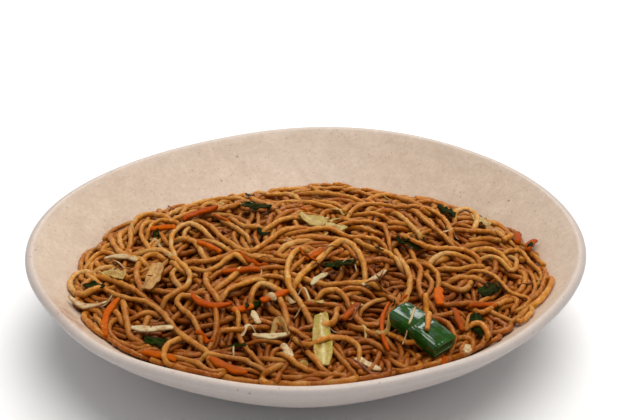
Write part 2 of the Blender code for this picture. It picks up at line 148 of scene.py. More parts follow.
def heap_edge(theta):
    share = HEAP_EDGE - HEAP_LEAN * np.sin(theta) + HEAP_SIDES * np.cos(2 * theta)
    return (share + waves(theta, HEAP_RAGGED)) * RIM_RADIUS


def heap_height(x, y):
    theta, radius = from_plan(x, y)
    edge = heap_edge(theta)
    low = inner_height(edge) + HEAP_GAP + HEAP_SIDE_FACE
    swell = np.maximum(0.0, 1.0 - (radius / edge) ** 2) ** HEAP_POWER
    lump = np.sin(math.tau * x / LUMP_LENGTH + LUMP_STARTS[0])
    lump = lump * np.sin(math.tau * y / LUMP_LENGTH + LUMP_STARTS[1])
    return low + (HEAP_TOP - low) * swell + HEAP_LUMP * lump * swell


def ground_height(x, y):
    """The heap, or the bowl's wall beyond its edge."""
    wall = inner_height(from_plan(x, y)[1]) + HEAP_GAP
    return np.maximum(heap_height(x, y), wall)


# What a pixel of the photograph looks at
BACKWARDS = np.array([0.0, -math.cos(CAMERA_ELEVATION), math.sin(CAMERA_ELEVATION)])
UPWARDS = np.array([0.0, math.sin(CAMERA_ELEVATION), math.cos(CAMERA_ELEVATION)])
CAMERA_PLACE = CAMERA_TARGET + BACKWARDS * CAMERA_DISTANCE


def pixel_ray(px, py):
    right = (px - FRAME_WIDTH / 2) / FOCAL_PIXELS
    up = (FRAME_HEIGHT / 2 - py) / FOCAL_PIXELS
    ray = np.array([right, 0.0, 0.0]) + up * UPWARDS - BACKWARDS
    return ray / np.linalg.norm(ray)


def on_heap(px, py, lift):
    """The point over the heap, this far above it, that a pixel looks at."""
    ray = pixel_ray(px, py)
    steps = np.linspace(*RAY_REACH, RAY_STEPS)
    points = CAMERA_PLACE + ray * steps[:, None]
    above = points[:, 2] - ground_height(points[:, 0], points[:, 1]) - lift
    below = np.nonzero(above <= 0)[0]
    first = below[0] if len(below) else len(steps) - 1
    return points[first]


# Noodles followed in the photograph, by pixels across and down. A later one lies over an earlier one
TRACED = {
    "back_edge_middle": (301, 194, 322, 193, 337, 195, 352, 198, 362, 202),
    "back_edge_right": (367, 200, 378, 196, 388, 195, 400, 198, 412, 201),
    "back_edge_left": (257, 192, 271, 195, 286, 194, 297, 197),
    "back_left_rise": (172, 213, 186, 207, 203, 202, 222, 199, 240, 198),
    "top_sweep": (348, 216, 354, 209, 366, 204, 383, 205, 397, 207, 414, 206, 429, 209, 441, 216,
        448, 224, 451, 232),
    "top_slope_a": (395, 212, 403, 218, 411, 226, 420, 235),
    "top_slope_b": (414, 210, 422, 218, 432, 226, 442, 234, 448, 240),
    "top_bend": (348, 223, 362, 221, 373, 223, 383, 225, 387, 233, 389, 241),
    "cut_end": (356, 226, 364, 229, 373, 231),
    "beside_dark_leaf": (246, 197, 260, 202, 271, 207, 280, 212),
    "left_of_top_leaf": (269, 227, 277, 222, 286, 218, 295, 217),
    "far_right_shelf": (458, 229, 469, 231, 481, 231, 491, 231),
    "far_right_loop": (454, 213, 462, 209, 470, 210, 476, 215, 477, 221, 474, 228),
    "far_right_band": (400, 235, 411, 240, 422, 245, 433, 248, 444, 248, 460, 249, 472, 253, 480, 260),
    "right_band_low": (429, 264, 437, 256, 449, 253, 463, 257, 472, 260),
    "right_band_under": (442, 268, 455, 270, 466, 268, 478, 265),
    "right_band_top": (470, 251, 484, 249, 493, 250, 500, 253, 506, 260),
    "right_hook": (484, 257, 493, 256, 503, 262, 509, 270, 513, 272, 517, 265, 516, 258),
    "right_edge": (505, 252, 511, 250, 520, 250, 526, 257, 532, 265, 541, 272, 542, 284),
    "right_edge_inner": (532, 276, 535, 285, 534, 293, 529, 298),
    "right_wall": (557, 277, 553, 287, 547, 297, 539, 306),
    "right_wall_short": (548, 276, 545, 286, 543, 294),
    "right_run": (477, 270, 487, 272, 497, 278, 505, 287, 511, 293, 522, 297, 531, 297),
    "right_bar": (454, 278, 466, 277, 480, 279),
    "right_cup": (446, 284, 455, 290, 467, 289, 471, 281),
    "left_top_ring": (131, 240, 131, 228, 138, 218, 147, 214, 158, 215, 168, 217),
    "left_top_ring_inner": (150, 248, 144, 241, 141, 233, 144, 224, 152, 221),
    "left_carrot_arch": (149, 230, 153, 223, 161, 220, 171, 221, 181, 225),
    "left_upper_edge": (111, 238, 115, 246, 121, 253, 131, 257, 142, 260),
    "left_edge_arch": (90, 262, 95, 256, 103, 252, 114, 254),
    "left_edge_bar": (93, 272, 104, 268, 114, 266),
    "left_edge_ring": (95, 276, 84, 271, 75, 275, 70, 282, 71, 290),
    "left_edge_low": (75, 293, 84, 295, 93, 290, 100, 287),
    "left_upright": (175, 256, 171, 245, 173, 233, 181, 226, 188, 223, 196, 225, 205, 231),
    "left_slant": (217, 215, 223, 221, 233, 226, 243, 233, 249, 238),
    "left_slant_upper": (232, 218, 239, 224, 249, 227, 262, 226),
    "left_pale": (178, 239, 189, 239, 197, 244, 203, 255),
    "left_bar": (185, 261, 197, 262, 212, 260, 226, 256, 236, 251, 248, 256, 262, 259, 277, 261,
        287, 261),
    "left_cup": (192, 267, 200, 271, 210, 271, 219, 265, 228, 258, 236, 252),
    "long_s": (200, 221, 208, 225, 214, 229, 221, 237, 232, 244, 241, 250, 252, 251, 261, 246, 270, 240,
        278, 233, 287, 229, 299, 228, 312, 229),
    "mid_sweep": (310, 229, 327, 228, 337, 231, 347, 237, 359, 237, 372, 238, 381, 242, 387, 249),
    "mid_right_slope": (357, 240, 362, 244, 369, 248, 381, 250, 391, 255, 400, 262),
    "mid_left_short": (279, 251, 286, 246, 297, 242, 306, 241),
    "mid_diagonal": (292, 269, 301, 261, 310, 255, 321, 248),
    "mid_low_sweep": (293, 274, 301, 278, 311, 282, 324, 285, 337, 284, 352, 283, 373, 283),
    "mid_low_arch": (319, 294, 327, 290, 337, 290, 344, 295, 348, 302),
    "mid_low_right": (340, 291, 350, 288, 360, 288, 369, 292),
    "centre_left_bar": (240, 283, 250, 280, 266, 276, 279, 276, 286, 279),
    "centre_left_ring": (251, 295, 255, 287, 262, 282, 270, 286),
    "centre_left_slant": (260, 278, 248, 282, 233, 287, 225, 291),
    "left_short_slant": (237, 273, 229, 280, 217, 288),
    "left_drop": (206, 273, 206, 282, 211, 290, 218, 299),
    "left_ring_inner": (176, 268, 171, 274, 174, 280, 180, 286),
    "left_ring_outer": (160, 256, 151, 254, 142, 260, 137, 268, 137, 278, 142, 289),
    "left_big_loop": (152, 250, 161, 250, 169, 254, 179, 262, 188, 270, 190, 278, 187, 286, 177, 292,
        166, 297),
    "left_above_long": (84, 284, 91, 279, 101, 277, 111, 280, 122, 284, 131, 288, 140, 293),
    "front_left_uprights": (123, 300, 125, 312, 127, 322, 129, 331),
    "front_left_corner": (118, 319, 110, 322, 109, 331, 113, 338, 121, 343, 131, 347, 141, 350),
    "front_left_rim": (81, 317, 87, 324, 94, 330, 103, 337),
    "front_left_rim_b": (94, 318, 101, 322, 102, 331),
    "front_left_stub": (149, 316, 144, 326),
    "front_left_arc": (164, 361, 164, 351, 168, 344, 176, 339, 186, 338),
    "front_rim_left": (172, 358, 182, 359, 193, 362, 202, 366, 207, 371, 218, 374),
    "front_left_knot": (181, 354, 193, 356, 204, 353),
    "front_left_hook": (192, 295, 182, 295, 176, 300, 181, 308, 189, 314, 194, 320, 198, 329, 200, 338),
    "front_left_fall": (215, 310, 217, 320, 216, 332, 213, 342, 207, 351),
    "long_front_left": (88, 275, 95, 280, 101, 286, 108, 291, 119, 296, 131, 299, 145, 301, 155, 307,
        163, 313, 170, 322, 178, 332, 189, 340, 198, 346, 207, 351),
    "front_middle_fall": (239, 316, 238, 328, 240, 339, 246, 348, 255, 358, 262, 366),
    "front_long": (206, 352, 213, 355, 226, 357, 241, 359, 251, 363, 261, 369, 271, 374, 282, 377,
        292, 378, 303, 378),
    "front_short_fall": (278, 296, 283, 305, 286, 315, 287, 325),
    "front_bar_a": (263, 322, 273, 323, 285, 326, 294, 330),
    "front_bar_b": (218, 330, 231, 330, 244, 329, 256, 327, 264, 326),
    "front_bar_c": (264, 359, 277, 360, 290, 362),
    "front_bar_d": (284, 353, 292, 360, 300, 366, 310, 371),
    "front_bar_e": (261, 340, 276, 341),
    "front_foot_a": (262, 382, 264, 376, 271, 369, 281, 365),
    "front_foot_b": (276, 382, 280, 374, 287, 366),
    "front_slant_a": (307, 350, 314, 359, 321, 367),
    "front_slant_b": (333, 350, 343, 361, 351, 370, 357, 379),
    "front_small_bow": (337, 307, 336, 316, 334, 323, 329, 326),
    "arch": (299, 277, 305, 271, 311, 266, 320, 259, 330, 248, 338, 242, 345, 240, 353, 246, 360, 255,
        364, 266, 365, 278),
    "centre_upright": (304, 248, 298, 249, 293, 253, 289, 261, 287, 270, 288, 279, 290, 289, 297, 298,
        302, 306, 309, 317),
    "centre_upright_side": (292, 278, 297, 284, 303, 290, 307, 295),
    "over_leaf": (292, 336, 298, 342, 306, 346, 315, 343, 324, 339, 336, 337, 348, 339, 357, 344,
        360, 351, 358, 361),
    "beside_leaf": (357, 341, 369, 341, 378, 345, 385, 352),
    "dark_cup": (355, 315, 360, 323, 371, 326, 385, 322),
    "dark_low": (361, 328, 373, 334, 386, 338),
    "dark_top": (360, 310, 371, 303, 382, 299),
    "fall_left": (395, 250, 401, 260, 406, 267, 410, 278, 409, 290, 405, 300, 400, 310),
    "fall_right_top": (408, 260, 417, 263, 421, 270, 419, 280, 419, 288, 423, 298, 431, 304),
    "fall_side": (424, 264, 432, 267, 437, 273, 439, 281),
    "round_onion": (433, 317, 444, 321, 452, 329, 455, 339, 452, 349, 449, 360),
    "onion_bar": (434, 316, 448, 315),
    "before_onion": (389, 333, 399, 338, 410, 345),
    "before_onion_low": (409, 349, 415, 358, 422, 367),
    "before_onion_left": (397, 341, 401, 349, 402, 358),
    "front_right_rim": (388, 372, 401, 371, 414, 370),
    "front_right_stub": (375, 367, 378, 359, 379, 352),
    "right_hook_low": (474, 324, 480, 322, 486, 329, 488, 340),
    "right_rim_bar": (464, 357, 474, 350, 485, 344),
    "right_arrow": (474, 309, 480, 314, 491, 308, 501, 303, 512, 299),
    "right_ring": (493, 313, 501, 317, 511, 321, 524, 323, 531, 318, 535, 311, 528, 307, 519, 309),
    "right_rim_short": (505, 333, 513, 327),
    "right_rim_knob": (487, 318, 492, 325),
}

# Noodles: particles this far apart, which keep a noodle's width from each other
STEP = 0.0020
CONTACT = 2 * NOODLE_RADIUS
LOOSE_NOODLES = 150
LOOSE_STEPS = (50, 100)
LOOSE_REACH = 0.95
LOOSE_DEPTH = (-0.0050, 0.0010)
LOOSE_WAVE = (0.0005, 0.0025)
LOOSE_WAVE_LENGTH = (0.050, 0.110)
TAIL_STEPS = (8, 20)
TAIL_OVER = 2
WIND_DRIFT = 14.0
WIND_SWAY = (20.0, 90.0)
WIND_LENGTH = (0.030, 0.090)
TURN_BACK = 120.0
TURN_SHARES = (0.84, 0.12)
TURN_FACING = 1.2
CURVE_STEPS = 12
CORE_DEPTH = 0.008
SURFACE_LIFT = 0.0018
NOODLE_SEED = 7
TRACE_PIXELS = 4.0
LEAST_LIFT = SURFACE_LIFT * 0.6
MOST_LIFT = SURFACE_LIFT + 0.0030
CROSSING = CONTACT * 0.95
TAIL_EASE = 7.0
TAIL_DEPTH = 0.0030
SETTLE_ROUNDS = 140
PAIR_REACH = 0.0040
PAIRS_EVERY = 5
NEAR_IN_CHAIN = 3
BEND_SPAN = 4
TRACED_WEIGHT = 0.35
PUSH_SHARE = 0.9
SPAN_SHARE = 0.10
EASE_SHARES = np.array([0.06, 0.06, 0.16])
LINK_SHARE = 0.5
RAY_SHARE = 0.5
SINK = 0.00003
TINY = 1e-6
MOST_MOVE = 0.0008
MOVE_SHARE = 0.7
UNDER_ROOM = 0.0002
WALL_ROOM = 0.0003
TRACED_DEPTH = 0.0012
EDGE_MOVE = 0.002
OVER_ROOM = 0.0008
TRACED_RISE = 0.0026
RISE_FROM_EDGE = 0.015
TRACED_SPILL = 0.0050
LOOSE_SPILL = 0.0015
FRONT_SPILL = 0.0105
FRONT_SHARE = 0.10
MOST_OUT = 0.1203
EDGE_NOODLES = 110
EDGE_STEPS = (12, 30)
EDGE_SHIFT = 0.05
EDGE_TURN = (-0.3, 0.7)
EDGE_DEPTH = (-0.0020, 0.0010)
EDGE_SHARES = (0.87, 1.00)
EDGE_BAY = 163.0
EDGE_BAY_SPAN = 14.0
EDGE_BAY_DEPTH = 0.06
SURFACE_LUMPS = 0.0015
LUMP_SPAN = 0.024
NOISE_LENGTHS = (0.7, 1.5)
NOISE_SIZE = 1.5
GAP_DEPTH = 0.0045
GAPS = ((371, 314, 5.0), (389, 267, 4.0), (492, 284, 4.5), (478, 313, 4.0), (141, 284, 3.5), (90, 300, 3.5),
        (345, 320, 3.5), (300, 352, 3.0), (338, 357, 3.0), (216, 302, 3.0), (262, 347, 3.0), (400, 345, 4.0),
        (330, 262, 3.5), (420, 252, 3.5), (446, 276, 3.5), (512, 284, 3.5), (208, 246, 3.0), (168, 282, 3.0),
        (228, 281, 3.0), (382, 357, 3.5), (150, 322, 3.0))

# Height maps over the dish
CELL = 0.001
MAP_HALF = 0.140


def frontness(theta):
    """From 0 at the sides to 1 at the front, where the heap leans on the wall up to the lip."""
    return np.sqrt(np.maximum(0.0, -np.sin(theta)))


def winding(rng, count, steps):
    """How much each of several noodles turns at each step, in radians."""
    along = np.arange(steps) * STEP
    drift = rng.normal(0.0, WIND_DRIFT, (count, 1))
    sway = rng.uniform(*WIND_SWAY, (count, 1))
    length = rng.uniform(*WIND_LENGTH, (count, 1))
    phase = rng.uniform(0.0, math.tau, (count, 1))
    return (drift + sway * np.sin(phase + math.tau * along / length)) * STEP


def walk(x, y, heading, turns):
    """Plans of several noodles at once, which turn back before the edge of the heap."""
    xs, ys = [], []
    for i in range(turns.shape[1]):
        xs.append(x)
        ys.append(y)
        theta, radius = from_plan(x, y)
        share = radius / (heap_edge(theta) + FRONT_SPILL * frontness(theta))
        inwards = np.arctan2(-y, -x)
        off = (inwards - heading + math.pi) % math.tau - math.pi
        push = np.clip((share - TURN_SHARES[0]) / TURN_SHARES[1], 0.0, 1.0)
        push = push * np.where(np.abs(off) > TURN_FACING, np.sign(off), 0.0)
        heading = heading + turns[:, i] + push * TURN_BACK * STEP
        x = x + np.cos(heading) * STEP
        y = y + np.sin(heading) * STEP
    return np.stack([np.array(xs).T, np.array(ys).T], axis=-1)


def resample(points, step):
    """Points at an even step along a smooth curve through the given ones."""
    points = np.asarray(points, float)
    ends = np.vstack([2 * points[0] - points[1], points, 2 * points[-1] - points[-2]])
    fine = []
    for i in range(len(points) - 1):
        a, b, c, d = ends[i : i + 4]
        t = np.linspace(0.0, 1.0, CURVE_STEPS, endpoint=False)[:, None]
        square = (2 * a - 5 * b + 4 * c - d) * t**2
        cube = (3 * b - a - 3 * c + d) * t**3
        fine.append(0.5 * (2 * b + (c - a) * t + square + cube))
    fine = np.vstack([*fine, points[-1:]])
    along = np.concatenate([[0.0], np.cumsum(np.linalg.norm(np.diff(fine, axis=0), axis=1))])
    count = max(3, int(along[-1] / step) + 1)
    wanted = np.linspace(0.0, along[-1], count)
    return np.stack([np.interp(wanted, along, fine[:, k]) for k in range(points.shape[1])], axis=-1)


class Map:
    """A value for each square of the dish's plan."""

    def __init__(self, value):
        self.count = int(2 * MAP_HALF / CELL) + 1
        axis = np.arange(self.count) * CELL - MAP_HALF
        self.x, self.y = np.meshgrid(axis, axis, indexing="ij")
        self.value = np.full(self.x.shape, float(value))

    def at(self, x, y):
        u = np.clip((x + MAP_HALF) / CELL, 0, self.count - 1.001)
        v = np.clip((y + MAP_HALF) / CELL, 0, self.count - 1.001)
        i, j = u.astype(int), v.astype(int)
        a, b = u - i, v - j
        top = self.value[i, j] * (1 - a) + self.value[i + 1, j] * a
        far = self.value[i, j + 1] * (1 - a) + self.value[i + 1, j + 1] * a
        return top * (1 - b) + far * b

    def window(self, x, y, reach):
        i = int((x + MAP_HALF) / CELL + 0.5)
        j = int((y + MAP_HALF) / CELL + 0.5)
        n = int(reach / CELL) + 1
        return slice(max(0, i - n), i + n + 1), slice(max(0, j - n), j + n + 1)

    def lift(self, x, y, reach, value):
        window = self.window(x, y, reach)
        near = np.hypot(self.x[window] - x, self.y[window] - y) <= reach
        self.value[window] = np.where(near, np.maximum(self.value[window], value), self.value[window])

    def blur(self, rounds):
        for _ in range(rounds):
            v = np.pad(self.value, 1, mode="edge")
            self.value = (4 * v[1:-1, 1:-1] + 2 * (v[:-2, 1:-1] + v[2:, 1:-1] + v[1:-1, :-2] + v[1:-1, 2:])
                          + v[:-2, :-2] + v[:-2, 2:] + v[2:, :-2] + v[2:, 2:]) / 16


def smooth_noise(x, y, rng, length, count=6):
    """Gentle random waves of about one length, from -1 to 1."""
    total = np.zeros_like(x)
    for _ in range(count):
        turn = rng.uniform(0.0, math.tau)
        wave = length * rng.uniform(*NOISE_LENGTHS)
        start = rng.uniform(0.0, math.tau)
        total += np.sin(math.tau * (x * math.cos(turn) + y * math.sin(turn)) / wave + start)
    return total / count**0.5 / NOISE_SIZE


def tree_of_node(name):
    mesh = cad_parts[name].data
    return BVHTree.FromPolygons([v.co for v in mesh.vertices], [tuple(p.vertices) for p in mesh.polygons])


def nodes_of_kind(kind):
    return sorted(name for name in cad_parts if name.startswith(kind))


TOPPING_NODES = [name for name in sorted(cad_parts) if name not in ("bowl", "noodles")]
TREES = {name: tree_of_node(name) for name in TOPPING_NODES}


def surface_over(name, x, y, upwards=False):
    """Height of a topping's top, or of its underside, over this place, or None."""
    start, direction = (-1.0, 1.0) if upwards else (1.0, -1.0)
    hit = TREES[name].ray_cast(Vector((x, y, start)), Vector((0.0, 0.0, direction)))
    return None if hit[0] is None else hit[0].z


def topping_maps():
    """The toppings' tops and undersides, over the dish's plan."""
    tops, undersides = Map(-1.0), Map(1.0)
    for name in TOPPING_NODES:
        low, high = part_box(name)
        for x in np.arange(low.x, high.x + CELL, CELL):
            for y in np.arange(low.y, high.y + CELL, CELL):
                top = surface_over(name, x, y)
                if top is None:
                    continue
                under = surface_over(name, x, y, upwards=True)
                i, j = int((x + MAP_HALF) / CELL + 0.5), int((y + MAP_HALF) / CELL + 0.5)
                tops.value[i, j] = max(tops.value[i, j], top)
                undersides.value[i, j] = min(undersides.value[i, j], under)
    return tops, undersides


class Tangle:
    """Every noodle as a chain of particles."""

    def __init__(self):
        self.chains = []
        self.rays = []
        self.over = []
        self.kinds = []

    def add(self, points, rays=None, over=None, kind=0):
        count = len(points)
        self.chains.append(np.asarray(points, float))
        self.rays.append(np.zeros((count, 3)) if rays is None else rays)
        self.over.append(np.zeros(count, bool) if over is None else over)
        self.kinds.append(kind)

    def freeze(self):
        self.starts = np.cumsum([0] + [len(chain) for chain in self.chains])
        self.points = np.vstack(self.chains)
        self.ray = np.vstack(self.rays)
        self.traced = np.linalg.norm(self.ray, axis=1) > 0.5
        self.lies_over = np.concatenate(self.over)
        self.chain = np.repeat(np.arange(len(self.chains)), [len(chain) for chain in self.chains])
        self.place = np.concatenate([np.arange(len(chain)) for chain in self.chains])
        self.weight = np.where(self.traced, TRACED_WEIGHT, 1.0)

    def split(self, points):
        return [points[self.starts[i] : self.starts[i + 1]] for i in range(len(self.chains))]


def close_pairs(points, reach):
    """Pairs of particles closer than reach, found over a grid of cells."""
    cells = np.floor(points / reach).astype(np.int64)
    cells -= cells.min(axis=0) - 1
    span = cells.max(axis=0) + 2
    keys = (cells[:, 0] * span[1] + cells[:, 1]) * span[2] + cells[:, 2]
    order = np.argsort(keys, kind="stable")
    ranked = keys[order]
    firsts, seconds = [], []
    for dx, dy, dz in [(a, b, c) for a in (-1, 0, 1) for b in (-1, 0, 1) for c in (-1, 0, 1)]:
        shift = (dx * span[1] + dy) * span[2] + dz
        if shift < 0:
            continue
        low = np.searchsorted(ranked, keys + shift, "left")
        high = np.searchsorted(ranked, keys + shift, "right")
        counts = high - low
        total = int(counts.sum())
        if not total:
            continue
        a = np.repeat(np.arange(len(points)), counts)
        offset = np.arange(total) - np.repeat(np.cumsum(counts) - counts, counts)
        b = order[np.repeat(low, counts) + offset]
        if shift == 0:
            keep = a < b
            a, b = a[keep], b[keep]
        near = np.sum((points[a] - points[b]) ** 2, axis=1) < reach**2
        firsts.append(a[near])
        seconds.append(b[near])
    return np.concatenate(firsts), np.concatenate(seconds)


def spread(count, index, moves):
    """The mean of the moves asked of each particle."""
    hits = np.bincount(index, minlength=count)
    total = np.stack([np.bincount(index, moves[:, k], count) for k in range(3)], axis=-1)
    return total / np.maximum(hits, 1)[:, None]


def settle(tangle, ceiling, tops, undersides, rounds):
    """Eases the noodles apart, inside the bowl and under the heap's own surface."""
    points = tangle.points
    count = len(points)
    index = np.arange(count - 1)
    linked = tangle.chain[:-1] == tangle.chain[1:]
    links = [index[linked & (tangle.place[:-1] % 2 == odd)] for odd in (0, 1)]
    spans = np.arange(count - BEND_SPAN)
    spans = spans[tangle.chain[:-BEND_SPAN] == tangle.chain[BEND_SPAN:]]
    span_length = np.linalg.norm(points[spans + BEND_SPAN] - points[spans], axis=1)
    middles = np.arange(1, count - 1)
    middles = middles[(tangle.chain[:-2] == tangle.chain[2:])]
    ray = tangle.ray
    traced = tangle.traced
    for step in range(rounds):
        # Noodles that touch push each other away
        if step % PAIRS_EVERY == 0:
            a, b = close_pairs(points, PAIR_REACH)
            close = np.abs(tangle.place[a] - tangle.place[b]) <= NEAR_IN_CHAIN
            other = ~((tangle.chain[a] == tangle.chain[b]) & close)
            a, b = a[other], b[other]
        apart = points[b] - points[a]
        distance = np.linalg.norm(apart, axis=1)
        touching = distance < CONTACT
        i, j = a[touching], b[touching]
        gap = distance[touching]
        push = apart[touching] * ((CONTACT - gap) / np.maximum(gap, TINY))[:, None]
        share = tangle.weight[i] / (tangle.weight[i] + tangle.weight[j])
        moves = np.vstack([-push * share[:, None], push * (1 - share)[:, None]])
        points = points + PUSH_SHARE * spread(count, np.concatenate([i, j]), moves)

        # Bends keep their size, and are eased
        pull = points[spans + BEND_SPAN] - points[spans]
        length = np.linalg.norm(pull, axis=1)
        wrong = pull * ((length - span_length) / np.maximum(length, TINY) * SPAN_SHARE)[:, None]
        both = np.concatenate([spans, spans + BEND_SPAN])
        points = points + spread(count, both, np.vstack([wrong, -wrong]))

        mean = (points[middles - 1] + points[middles + 1]) / 2
        points[middles] += (mean - points[middles]) * EASE_SHARES

        # Particles keep their distance along a noodle
        for i in links:
            pull = points[i + 1] - points[i]
            length = np.linalg.norm(pull, axis=1)
            wrong = pull * ((length - STEP) / np.maximum(length, TINY) * LINK_SHARE)[:, None]
            points[i] += wrong
            points[i + 1] -= wrong

        # Traced noodles stay on their pixels' rays
        off = points - CAMERA_PLACE
        on_ray = CAMERA_PLACE + ray * np.sum(off * ray, axis=1)[:, None]
        points = np.where(traced[:, None], points + RAY_SHARE * (on_ray - points), points)
        points[:, 2] -= SINK
        points = confine(points, tangle, ceiling, tops, undersides)
    return points


def confine(points, tangle, ceiling, tops, undersides):
    """Keeps the particles under their ceiling, over the floor, off the toppings and inside the bowl."""
    x, y, z = points.T
    heap = heap_height(x, y)
    theta, radius = from_plan(x, y)
    rise = TRACED_RISE * np.clip((heap_edge(theta) - radius) / RISE_FROM_EDGE, 0.0, 1.0)
    limit = np.where(tangle.traced, heap + SURFACE_LIFT + rise, ceiling.at(x, y))
    under = undersides.at(x, y) - NOODLE_RADIUS - UNDER_ROOM
    over = tops.at(x, y) + NOODLE_RADIUS
    limit = np.where(tangle.lies_over, np.maximum(limit, over + OVER_ROOM), np.minimum(limit, under))
    z = z + np.clip(limit - z, -MOST_MOVE, 0.0) * MOVE_SHARE
    floor = heap - CORE_DEPTH + NOODLE_RADIUS
    floor = np.where(tangle.traced, heap - TRACED_DEPTH, floor)
    floor = np.where(tangle.lies_over, np.maximum(floor, over), floor)
    z = z + np.clip(floor - z, 0.0, MOST_MOVE) * MOVE_SHARE
    slope = np.interp(radius, INNER_RADII, INNER_SLOPES)
    deep = (inner_height(radius) + (NOODLE_RADIUS + WALL_ROOM) / np.cos(slope) - z) * np.cos(slope)
    deep = np.maximum(deep, 0.0)
    z = z + deep * np.cos(slope)
    edge = heap_edge(theta) + np.where(tangle.traced, TRACED_SPILL, LOOSE_SPILL)
    edge = np.minimum(edge + FRONT_SPILL * frontness(theta), MOST_OUT)
    inwards = deep * np.sin(slope) + np.clip(radius - edge, 0.0, EDGE_MOVE)
    scale = 1.0 - inwards / np.maximum(radius, TINY)
    x = (x + CENTRE_X) * scale - CENTRE_X
    y = (y + CENTRE_Y) * scale - CENTRE_Y
    return np.stack([x, y, z], axis=-1)


def traced_noodles(tangle, rng):
    """The noodles followed in the photograph, each drawn on at both ends into the heap."""
    relief = Map(-1.0)
    paths = []
    for pixels in TRACED.values():
        fine = resample(np.reshape(pixels, (-1, 2)), TRACE_PIXELS)
        lift = np.full(len(fine), LEAST_LIFT)
        for _ in range(2):
            spots = np.array([on_heap(px, py, rise) for (px, py), rise in zip(fine, lift)])
            x, y = spots[:, 0], spots[:, 1]
            wanted = np.maximum(LEAST_LIFT, relief.at(x, y) + CROSSING - ground_height(x, y))
            ease = np.pad(wanted, 2, mode="edge")
            wanted = np.maximum(wanted, (ease[:-4] + ease[1:-3] + ease[2:-2] + ease[3:-1] + ease[4:]) / 5)
            lift = np.minimum(wanted, MOST_LIFT)
        points = resample(spots, STEP)
        for x, y, z in points:
            relief.lift(x, y, NOODLE_RADIUS, z)
        paths.append(points)
    count = len(paths)
    most = TAIL_STEPS[1]
    ends = []
    for inner, outer in ((1, 0), (-2, -1)):
        x = np.array([path[outer][0] for path in paths])
        y = np.array([path[outer][1] for path in paths])
        heading = np.array([math.atan2(*(path[outer] - path[inner])[1::-1]) for path in paths])
        ends.append(walk(x, y, heading, winding(rng, count, most)))
    for number, path in enumerate(paths):
        pieces = [path]
        masks = [np.ones(len(path), bool)]
        for side in (0, 1):
            steps = int(rng.integers(*TAIL_STEPS))
            plan = ends[side][number][1:steps]
            start = path[0] if side == 0 else path[-1]
            share = np.minimum(1.0, np.arange(1, len(plan) + 1) / TAIL_EASE)
            base = heap_height(start[0], start[1])
            fall = (start[2] - base) * (1 - share) - TAIL_DEPTH * share
            tail = np.column_stack([plan, heap_height(plan[:, 0], plan[:, 1]) + fall])
            place = 0 if side == 0 else len(pieces)
            pieces.insert(place, tail[::-1] if side == 0 else tail)
            masks.insert(place, np.zeros(len(tail), bool))
        points, mask = np.vstack(pieces), np.concatenate(masks)
        away = points - CAMERA_PLACE
        rays = away / np.linalg.norm(away, axis=1)[:, None] * mask[:, None]
        over = np.convolve(mask, np.ones(2 * TAIL_OVER + 1), "same") > 0.5
        tangle.add(points, rays, over, kind=1)
    return relief


def loose_noodles(tangle, rng):
    most = LOOSE_STEPS[1]
    theta = rng.uniform(0.0, math.tau, LOOSE_NOODLES)
    radius = heap_edge(theta) * np.sqrt(rng.random(LOOSE_NOODLES)) * LOOSE_REACH
    x, y = to_plan(theta, radius)
    plans = walk(x, y, rng.uniform(0.0, math.tau, LOOSE_NOODLES), winding(rng, LOOSE_NOODLES, most))
    for plan in plans:
        steps = int(rng.integers(*LOOSE_STEPS))
        plan = plan[:steps]
        base = rng.uniform(*LOOSE_DEPTH)
        height = rng.uniform(*LOOSE_WAVE)
        length = rng.uniform(*LOOSE_WAVE_LENGTH)
        start = rng.uniform(0.0, math.tau)
        depth = base + height * np.sin(math.tau * np.arange(steps) * STEP / length + start)
        tangle.add(np.column_stack([plan, heap_height(plan[:, 0], plan[:, 1]) + depth]))


def edge_noodles(tangle, rng):
    """Short lengths that run round the edge of the heap, so that it ends in bends of noodle."""
    theta = np.arange(EDGE_NOODLES) * math.tau / EDGE_NOODLES
    theta = theta + rng.uniform(-EDGE_SHIFT, EDGE_SHIFT, EDGE_NOODLES)
    share = rng.uniform(*EDGE_SHARES, EDGE_NOODLES)
    bay = np.exp(-(((np.degrees(theta) - EDGE_BAY) / EDGE_BAY_SPAN) ** 2))
    share = share - EDGE_BAY_DEPTH * bay + FRONT_SHARE * frontness(theta)
    x, y = to_plan(theta, heap_edge(theta) * share)
    heading = theta + math.pi / 2 + rng.uniform(*EDGE_TURN, EDGE_NOODLES)
    plans = walk(x, y, heading, winding(rng, EDGE_NOODLES, EDGE_STEPS[1]))
    for plan in plans:
        plan = plan[: int(rng.integers(*EDGE_STEPS))]
        depth = rng.uniform(*EDGE_DEPTH)
        tangle.add(np.column_stack([plan, heap_height(plan[:, 0], plan[:, 1]) + depth]))


def noodle_ceiling(relief, rng):
    """How high the loose noodles may lie: up to the surface, but under the traced ones."""
    ceiling = Map(0.0)
    x, y = ceiling.x, ceiling.y
    lumps = smooth_noise(x, y, rng, LUMP_SPAN)
    ceiling.value = heap_height(x, y) + SURFACE_LIFT * 0.5 + SURFACE_LUMPS * lumps
    for px, py, across in GAPS:
        spot = on_heap(px, py, 0.0)
        off = np.hypot(x - spot[0], y - spot[1]) * 1000.0 / across
        ceiling.value = ceiling.value - GAP_DEPTH * np.exp(-(off**2))
    taken = relief.value > 0
    ceiling.value = np.where(taken, np.minimum(ceiling.value, relief.value - CONTACT), ceiling.value)
    ceiling.blur(1)
    return ceiling


